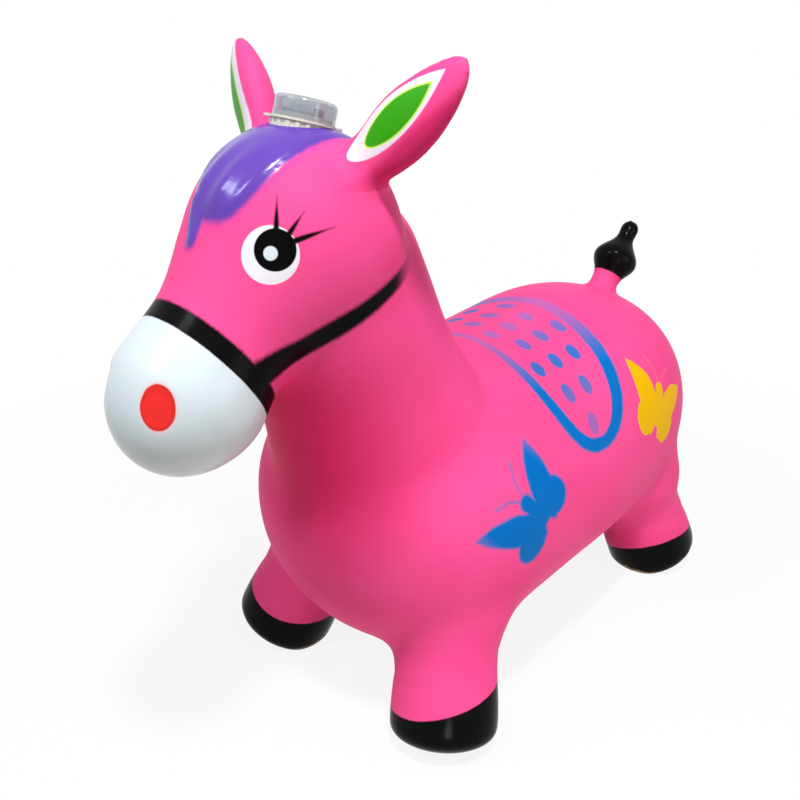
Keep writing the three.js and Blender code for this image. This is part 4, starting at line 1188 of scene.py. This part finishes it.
@dataclass(frozen=True)
class SkinPaint:
    """Everything painted on the horse, in millimetres on the skin."""

    cloud_size: float = 70.0
    ripple_size: float = 5.0
    # Painted shade round the throat under the head: its middle and how far out it fades.
    throat: Triple = (0, -160, 236)
    throat_shade_reach: Pair = (35, 125)
    saddle: Saddle = Saddle()
    butterflies: tuple[Butterfly, ...] = (
        Butterfly((-42.3, 192.9), -47, Hue.BLUE, feelers=0.6, softness=1.8, sweep=0.25, shrink=0.9),
        Butterfly((157, 211), -122, Hue.YELLOW, feelers=0.12, softness=0.5),
    )
    head_back: Pair = (-172.0, -160.0)
    head_foot: Pair = (225.0, 235.0)
    muzzle_point: Triple = (0, -240, 348.8)
    muzzle_normal: Triple = (0.0, 0.834, 0.552)
    band_width: float = 12
    band_under: float = -3.0
    strap: tuple[Triple, ...] = ((0, -212, 318), (0, -178, 326.2), (0, -146, 342), (0, -98, 365))
    strap_half_widths: Pair = (9.4, 5.0)
    strap_fade: Pair = (-118.0, -94.0)
    nostril: Nostril = Nostril()
    nostril_back: Pair = (-236.0, -228.0)
    eye: Triple = (43.4, -194.1, 385.3)
    eye_facing: Triple = (0.7, -0.62, 0.34)
    eye_back: Pair = (-26.0, -22.0)
    eye_radius: float = 16.2
    pupil: Triple = (44.7, -191.5, 387.8)
    pupil_radius: float = 11.8
    glint: Triple = (43.6, -194.0, 386.2)
    glint_radius: float = 4.2
    lash_half_widths: Pair = (1.7, 0.4)
    lashes: tuple[Lash, ...] = (
        Lash((44.0, -190.0, 392.5), (36.6, -181.6, 415)),
        Lash((46.9, -187.4, 391.5), (49.3, -173.4, 406.8)),
        Lash((48.6, -185.6, 391.0), (59.4, -160.6, 397.4)),
    )
    # Painted shade on the ears' outer sides: where it starts across the ear and where it fades in along it.
    outer_ear: Pair = (8.0, 16.0)
    outer_shade_foot: Pair = (5.0, 30.0)
    ear_front: Pair = (-3.0, -1.0)
    leaves: tuple[Leaf, ...] = (
        Leaf(Hue.EAR_WHITE, -1.4, 21.0, 94.0, 11.8, 0.5, Gloss.EAR),
        Leaf(Hue.LIME, -0.5, 32.8, 85.4, 9.1, 0.4),
        Leaf(Hue.GREEN, -0.5, 34.0, 83.5, 8.2, 0.35),
    )
    forms: HorseForms = HorseForms()
    hoof_paint: HoofPaint = HoofPaint()
    hoof_top: Pair = (70.0, 80.0)
    tuft_start: float = 29.0
    wear: float = 2.6

    def dress(self, skin: Object) -> Material:
        """Paints the skin layer by layer.

        Args:
            skin: The horse's skin, carrying its forelock and ear marks.

        Returns:
            The material on it.
        """
        canvas = Canvas("painted_pvc")
        cloud = canvas.noise(canvas.at, self.cloud_size, 2.0)
        canvas.lay(canvas.ramp(cloud, 0.3, 0.8, 0.0, 0.35), Hue.PINK_DEEP)
        # Painted shade: a deeper pink round the throat and upper chest, where the head's shadow falls.
        off = canvas.vector("DISTANCE", canvas.at, self.throat)
        canvas.lay(canvas.ramp(off, *self.throat_shade_reach, 0.85, 0.0), Hue.THROAT)
        self.saddle.dress(canvas)
        for butterfly in self.butterflies:
            butterfly.dress(canvas)
        for coat in (self.harness, self.nostrils, self.hair, self.eyes, self.ears, self.ends):
            coat(canvas)
        bump = canvas.node("ShaderNodeBump")
        bump.inputs["Strength"].default_value = 0.12
        bump.inputs["Distance"].default_value = 0.0006
        canvas.feed(bump.inputs["Height"], canvas.noise(canvas.at, self.ripple_size, 4.0))
        roughness, coat_weight, specular = canvas.gloss
        material = canvas.finish(
            base_color=canvas.colour,
            roughness=roughness + canvas.wobble * 0.05,
            coat_weight=coat_weight,
            coat_roughness=0.12,
            specular_ior_level=specular,
            ior=1.46,
            normal=Wire(canvas, bump.outputs[0]),
        )
        skin.data.materials.clear()
        skin.data.materials.append(material)
        return material

    def harness(self, canvas: Canvas) -> None:
        """The white muzzle, the black noseband and the cheek straps."""
        rel = canvas.vector("SUBTRACT", canvas.folded, self.muzzle_point)
        level = canvas.dot(rel, Vector(self.muzzle_normal).normalized())
        on_head = canvas.ramp(canvas.y, *self.head_back, 1.0, 0.0) * canvas.ramp(canvas.z, *self.head_foot)
        band = canvas.number("MAXIMUM", level - self.band_width, self.band_under - level)
        band = canvas.inside(band + canvas.spray * 1.2, 1.2) * on_head
        from_side = canvas.vector("MULTIPLY", canvas.folded, (0.0, 1.0, 1.0))
        half = canvas.ramp(canvas.y, self.strap[0][1], self.strap[-1][1], *self.strap_half_widths)
        off = canvas.bent_stroke(from_side, self.strap) - half + canvas.spray * 1.8
        strap = canvas.inside(off, 2.2) * canvas.ramp(canvas.y, *self.strap_fade, 1.0, 0.0)
        canvas.lay(canvas.number("MAXIMUM", band, strap), Hue.BLACK, Gloss.HARNESS)
        canvas.lay(canvas.inside(level + canvas.wobble * 0.6, 0.5) * on_head, Hue.WHITE, Gloss.MUZZLE)

    def nostrils(self, canvas: Canvas) -> None:
        """Red ovals that deepen towards their rims, with a pale halo."""
        rel = canvas.vector("SUBTRACT", canvas.folded, self.nostril.centre)
        across, up = self.nostril.radii()
        oval = canvas.combined(canvas.dot(rel, across), canvas.dot(rel, up))
        oval = canvas.vector("LENGTH", oval) + canvas.wobble * 0.1
        near = canvas.ramp(canvas.y, *self.nostril_back, 1.0, 0.0)
        canvas.lay(canvas.ramp(oval, 0.95, 1.2, 0.6, 0.0) * near, Hue.HALO)
        rim = canvas.ramp(oval, 0.72, 0.98, 0.0, 0.55)
        red = canvas.layer(rim, Hue.NOSTRIL.linear(), Hue.NOSTRIL_DEEP.linear())
        canvas.lay(canvas.ramp(oval, 0.93, 1.0, 1.0, 0.0) * near, red)

    @staticmethod
    def hair(canvas: Canvas) -> None:
        """The purple forelock with magenta overspray along its edge."""
        distance = canvas.mark("forelock", "Fac") + canvas.wobble * 2.0
        canvas.lay(canvas.ramp(distance, 0.0, 4.5, 0.4, 0.0), Hue.OVERSPRAY)
        canvas.lay(canvas.inside(distance, 1.3), Hue.PURPLE, Gloss.HAIR)

    def eyes(self, canvas: Canvas) -> None:
        """White, pupil and glint, with three lashes that thin out to their tips."""
        facing = Vector(self.eye_facing).normalized()
        right = Vector((-facing.y, facing.x, 0.0)).normalized()
        upward = facing.cross(right)

        def flat(point: Triple) -> Triple:
            """A point as seen square to the eye."""
            rel = Vector(point) - Vector(self.eye)
            return rel.dot(right), rel.dot(upward), 0.0

        def spot(centre: Triple, radius: float, hue: Hue) -> None:
            """A round spot of paint about a point of the skin."""
            off = canvas.vector("DISTANCE", canvas.folded, centre) - radius
            canvas.lay(canvas.inside(off, 0.35), hue, Gloss.EYE)

        rel = canvas.vector("SUBTRACT", canvas.folded, self.eye)
        seen = canvas.combined(canvas.dot(rel, right), canvas.dot(rel, upward))
        this_side = canvas.ramp(canvas.dot(rel, facing), *self.eye_back)
        spot(self.eye, self.eye_radius, Hue.EYE)
        for lash in self.lashes:
            line, share = canvas.stroke(seen, flat(lash.root), flat(lash.tip))
            stroke = canvas.inside(line - canvas.ramp(share, 0.15, 1.0, *self.lash_half_widths), 0.8)
            mask = stroke * canvas.ramp(share, 0.6, 1.0, 1.0, 0.6) * this_side
            canvas.lay(mask, Hue.BLACK, Gloss.EYE)
        spot(self.pupil, self.pupil_radius, Hue.BLACK)
        spot(self.glint, self.glint_radius, Hue.WHITE)

    def ears(self, canvas: Canvas) -> None:
        """White fronts with a green leaf in a thin lime edge, and painted shade, a deeper pink, on their
        outer sides.
        """
        across, along, front = canvas.separated(canvas.mark("ear_place", "Vector"))
        # Painted shade: a deeper pink over the outer side of the ear, where it turns away from the light.
        painted_ear_shade = canvas.ramp(across, *self.outer_ear, 0.0, 0.75) * canvas.ramp(along, *self.outer_shade_foot)
        canvas.lay(painted_ear_shade, Hue.EAR_PINK)
        on_front = canvas.ramp(front, *self.ear_front)
        for leaf in self.leaves:
            canvas.lay(leaf.mask(canvas, across, along) * on_front, leaf.hue, leaf.gloss)

    def ends(self, canvas: Canvas) -> None:
        """Black hooves with worn soles and the black tail tuft."""
        lines = self.hoof_paint
        far = canvas.number("LESS_THAN", canvas.x, 0.0)
        front, rear = (lines.rise(line, canvas.folded_x, canvas.z) for line in (lines.front, lines.rear))
        at_rear = canvas.number("GREATER_THAN", canvas.y, lines.behind)
        level = canvas.shift(at_rear, front - far * lines.far_raise, rear) + canvas.wobble
        hooves = canvas.inside(level, 0.6) * canvas.ramp(canvas.z, *self.hoof_top, 1.0, 0.0)
        rel = canvas.vector("SUBTRACT", canvas.at, self.forms.tail_root)
        before_tuft = self.tuft_start - canvas.dot(rel, self.forms.tail_axis())
        tuft = canvas.inside(before_tuft + canvas.wobble * 1.6, 0.7)
        canvas.lay(canvas.number("MAXIMUM", hooves, tuft), Hue.BLACK, Gloss.HOOF)
        canvas.lay(canvas.inside(canvas.z - self.wear + canvas.wobble * 7.0, 1.6), Hue.SOLE, Gloss.SOLE)


# Light module


@dataclass(frozen=True)
class Grain:
    """The fine mottle of moulded and drawn pieces, as a node group that all finishes share."""

    size: float = 0.7
    darkest: float = 0.86
    rougher: Pair = (0.85, 1.15)

    def build(self) -> NodeTree:
        """The group: place, colour and roughness go in, and the mottled ones come out."""
        tree = bpy.data.node_groups.new("fine_grain", "ShaderNodeTree")
        for name, kind, ways in (
            ("Place", "Vector", ("INPUT",)),
            ("Color", "Color", ("INPUT", "OUTPUT")),
            ("Roughness", "Float", ("INPUT", "OUTPUT")),
        ):
            for way in ways:
                tree.interface.new_socket(name, in_out=way, socket_type=f"NodeSocket{kind}")
        nodes = Nodes(tree)
        given, made = nodes.node("NodeGroupInput"), nodes.node("NodeGroupOutput")
        names = ("Place", "Color", "Roughness")
        place, colour, roughness = (Wire(nodes, given.outputs[name]) for name in names)
        mottled = nodes.noise(place, self.size)
        dark = nodes.scaled(colour, self.darkest)
        nodes.feed(made.inputs["Color"], nodes.layer(nodes.ramp(mottled, 0.35, 0.75, 0.0, 0.6), colour, dark))
        least, most = (roughness * share for share in self.rougher)
        nodes.feed(made.inputs["Roughness"], nodes.ramp(mottled, 0.3, 0.8, least, most))
        return tree


@dataclass(frozen=True)
class Finish:
    """A plain finish of one of the module's materials."""

    slot: str
    hue: tuple[int, int, int]
    roughness: float
    metallic: float = 0.0
    clearness: float = 0.0

    def material(self, grain: NodeTree) -> Material:
        """The finish as a material with the shared grain."""
        nodes = MaterialNodes(self.slot)
        group = nodes.node("ShaderNodeGroup", node_tree=grain)
        given = (("Place", nodes.place()), ("Color", paint(*self.hue)), ("Roughness", self.roughness))
        for name, value in given:
            nodes.feed(group.inputs[name], value)
        return nodes.finish(
            base_color=Wire(nodes, group.outputs["Color"]),
            roughness=Wire(nodes, group.outputs["Roughness"]),
            metallic=self.metallic,
            transmission_weight=self.clearness,
        )


FINISHES: tuple[Finish, ...] = (
    Finish("white_plastic", (236, 236, 232), 0.4),
    Finish("yellow_plastic", (226, 222, 204), 0.42),
    Finish("clear_plastic", (214, 220, 226), 0.1, clearness=0.78),
    Finish("brown_board", (140, 92, 54), 0.5),
    Finish("black_resin", (20, 20, 22), 0.35),
    Finish("grey_plastic", (94, 104, 118), 0.45),
    Finish("cell_steel", (196, 204, 212), 0.25, metallic=1.0),
    Finish("spring_steel", (206, 208, 212), 0.25, metallic=1.0),
    Finish("brass", (212, 172, 96), 0.25, metallic=1.0),
    Finish("green_lens", (40, 196, 96), 0.1, clearness=0.4),
    Finish("red_lens", (226, 60, 44), 0.1, clearness=0.4),
    Finish("blue_lens", (58, 106, 226), 0.1, clearness=0.4),
    Finish("cone_sheet", (44, 44, 46), 0.6),
)


@dataclass(frozen=True)
class LightModule:
    """The light-and-sound module: a smooth turned cap over pieces that keep their CAD forms.

    Sizes are millimetres, with heights over the top of the module's flange.
    """

    cap_radius: float = 18.95
    cap_wall: float = 1.2
    cap_top: float = 12.7
    cap_edge: float = 3.0
    seat_gap: float = 0.3
    edge_steps: int = 12

    def edge(self, radius: float, top: float, rounding: float) -> list[Pair]:
        """The rounded edge of a turned lid, from its side to its top."""
        turns = [math.pi / 2 * step / self.edge_steps for step in range(self.edge_steps + 1)]
        return [
            (radius - rounding + rounding * math.cos(turn), top - rounding + rounding * math.sin(turn))
            for turn in turns
        ]

    def cap(self) -> Object:
        """The clear cap, turned in one piece."""
        bore, ceiling = self.cap_radius - self.cap_wall, self.cap_top - self.cap_wall
        outside = self.edge(self.cap_radius, self.cap_top, self.cap_edge)
        inside = self.edge(bore, ceiling, self.cap_edge - self.cap_wall)
        rim = [(self.cap_radius, self.seat_gap), (bore, self.seat_gap)]
        outline = ((0.0, self.cap_top), *reversed(outside), *rim, *inside, (0.0, ceiling))
        mesh = bpy.data.meshes.new("clear_cap")
        with editing(mesh) as bm:
            Turned(outline, MODULE_PLACE, MODULE_AXIS).build(bm)
        mesh.shade_smooth()
        mesh.set_sharp_from_angle(angle=math.radians(40))
        cap = add_piece("clear_cap", mesh)
        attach(cap, "cap")
        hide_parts("module_cap")
        return cap

    def dress(self, skin_nodes: tuple[str, ...]) -> None:
        """Gives each shown CAD node the finish of its slot.

        Args:
            skin_nodes: The nodes that the painted skin stands for.
        """
        grain = Grain().build()
        made = {finish.slot: finish.material(grain) for finish in FINISHES}
        self.cap().data.materials.append(made["clear_plastic"])
        for part in frame["record"]["subparts"]:
            if part["node"] in skin_nodes or part["node"] == "module_cap":
                continue
            mesh = frame["nodes"][part["node"]].data
            mesh.materials.clear()
            mesh.materials.append(made[part["material_slot"]])


# Studio


@dataclass(frozen=True)
class Lamp:
    """A soft box, or a spot where it has a cone, in metres, watts and degrees."""

    name: str
    place: Triple
    aim: Triple
    size: float
    watts: float
    hue: Triple = (1.0, 1.0, 1.0)
    cone: float = 0.0

    def hang(self) -> None:
        """Hangs the lamp in its place."""
        light = bpy.data.lights.new(self.name, "SPOT" if self.cone else "AREA")
        light.energy = self.watts
        light.color = self.hue
        if self.cone:
            light.spot_size, light.spot_blend = math.radians(self.cone), 1.0
            light.shadow_soft_size = self.size
        else:
            light.size = self.size
        add_aimed(self.name, light, self.place, self.aim)


@dataclass(frozen=True)
class Studio:
    """A white floor under soft boxes, seen from the photograph's place.

    Places are metres. The floor's glow eases from its share near the toy to full, over
    millimetres away from it.
    """

    eye: Triple = (0.4321, -0.4932, 0.5268)
    aim: Triple = (-0.0082, -0.0395, 0.229)
    lens: float = 41.364
    sensor: float = 36.0
    floor_size: float = 30.0
    floor_bounce: Triple = (0.56, 0.51, 0.43)
    floor_shade: Pair = (0.95, 0.96)
    floor_glow: float = 0.88
    glow_reach: Pair = (350.0, 750.0)
    sky_light: float = 0.18
    lamps: tuple[Lamp, ...] = (
        Lamp("key", (0.5, -0.4, 1.75), (0.0, 0.0, 0.2), 0.2, 21.5),
        Lamp("side", (1.5, 0.2, 0.6), (0.0, 0.0, 0.2), 0.8, 5),
        Lamp("window", (-0.35, -1.15, 1.6), (0.0, -0.1, 0.3), 0.4, 9.5, (0.88, 0.95, 1.0)),
        Lamp("low", (1.0, -0.75, 0.12), (0.07, 0.06, 0.04), 0.2, 18, cone=22),
    )

    def build(self) -> None:
        """Sets up floor, sky, lamps, view and camera."""
        self.floor()
        self.sky()
        for lamp in self.lamps:
            lamp.hang()
        self.camera()
        bpy.context.scene.view_settings.view_transform = "Standard"

    def floor(self) -> None:
        """A white floor that keeps the toy's shadow."""
        mesh = bpy.data.meshes.new("floor")
        with editing(mesh) as bm:
            bmesh.ops.create_grid(bm, x_segments=1, y_segments=1, size=self.floor_size)
        floor = add_piece("floor", mesh)
        nodes = MaterialNodes("white_floor")
        place, seen = nodes.place(), nodes.seen()
        shade = nodes.ramp(nodes.noise(place, 400.0), 0.2, 0.8, *self.floor_shade)
        tints = [nodes.shift(seen, bounced, shade) for bounced in self.floor_bounce]
        nodes.finish(base_color=nodes.combined(*tints), roughness=0.9)
        away = nodes.vector("LENGTH", nodes.vector("MULTIPLY", place, (1.0, 1.0, 0.0)))
        glow, both = nodes.node("ShaderNodeEmission"), nodes.node("ShaderNodeMixShader")
        nodes.feed(both.inputs["Fac"], seen * nodes.ramp(away, *self.glow_reach, self.floor_glow, 1.0))
        nodes.feed(both.inputs[1], Wire(nodes, nodes.shader.outputs[0]))
        nodes.feed(both.inputs[2], Wire(nodes, glow.outputs[0]))
        nodes.feed(nodes.tree.nodes["Material Output"].inputs["Surface"], Wire(nodes, both.outputs[0]))
        mesh.materials.append(nodes.material)

    def sky(self) -> None:
        """An even light all round, white where the camera sees it."""
        world = bpy.data.worlds.new("studio")
        bpy.context.scene.world = world
        world.use_nodes = True
        nodes = Nodes(world.node_tree)
        background = nodes.tree.nodes["Background"]
        background.inputs["Color"].default_value = (1.0, 1.0, 1.0, 1.0)
        nodes.feed(background.inputs["Strength"], nodes.ramp(nodes.seen(), 0.0, 1.0, self.sky_light, 1.0))

    def camera(self) -> None:
        """Puts the camera where the photograph was taken."""
        camera = bpy.data.cameras.new("camera")
        camera.lens = self.lens
        camera.sensor_width = self.sensor
        bpy.context.scene.camera = add_aimed("camera", camera, self.eye, self.aim)


def main() -> None:
    """Builds the skin, dresses every piece and sets up the studio."""
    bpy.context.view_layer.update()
    horse = HorseSkin()
    skin = horse.build()
    SkinPaint().dress(skin)
    LightModule().dress(horse.nodes)
    Studio().build()


if __name__ == "__main__":
    main()
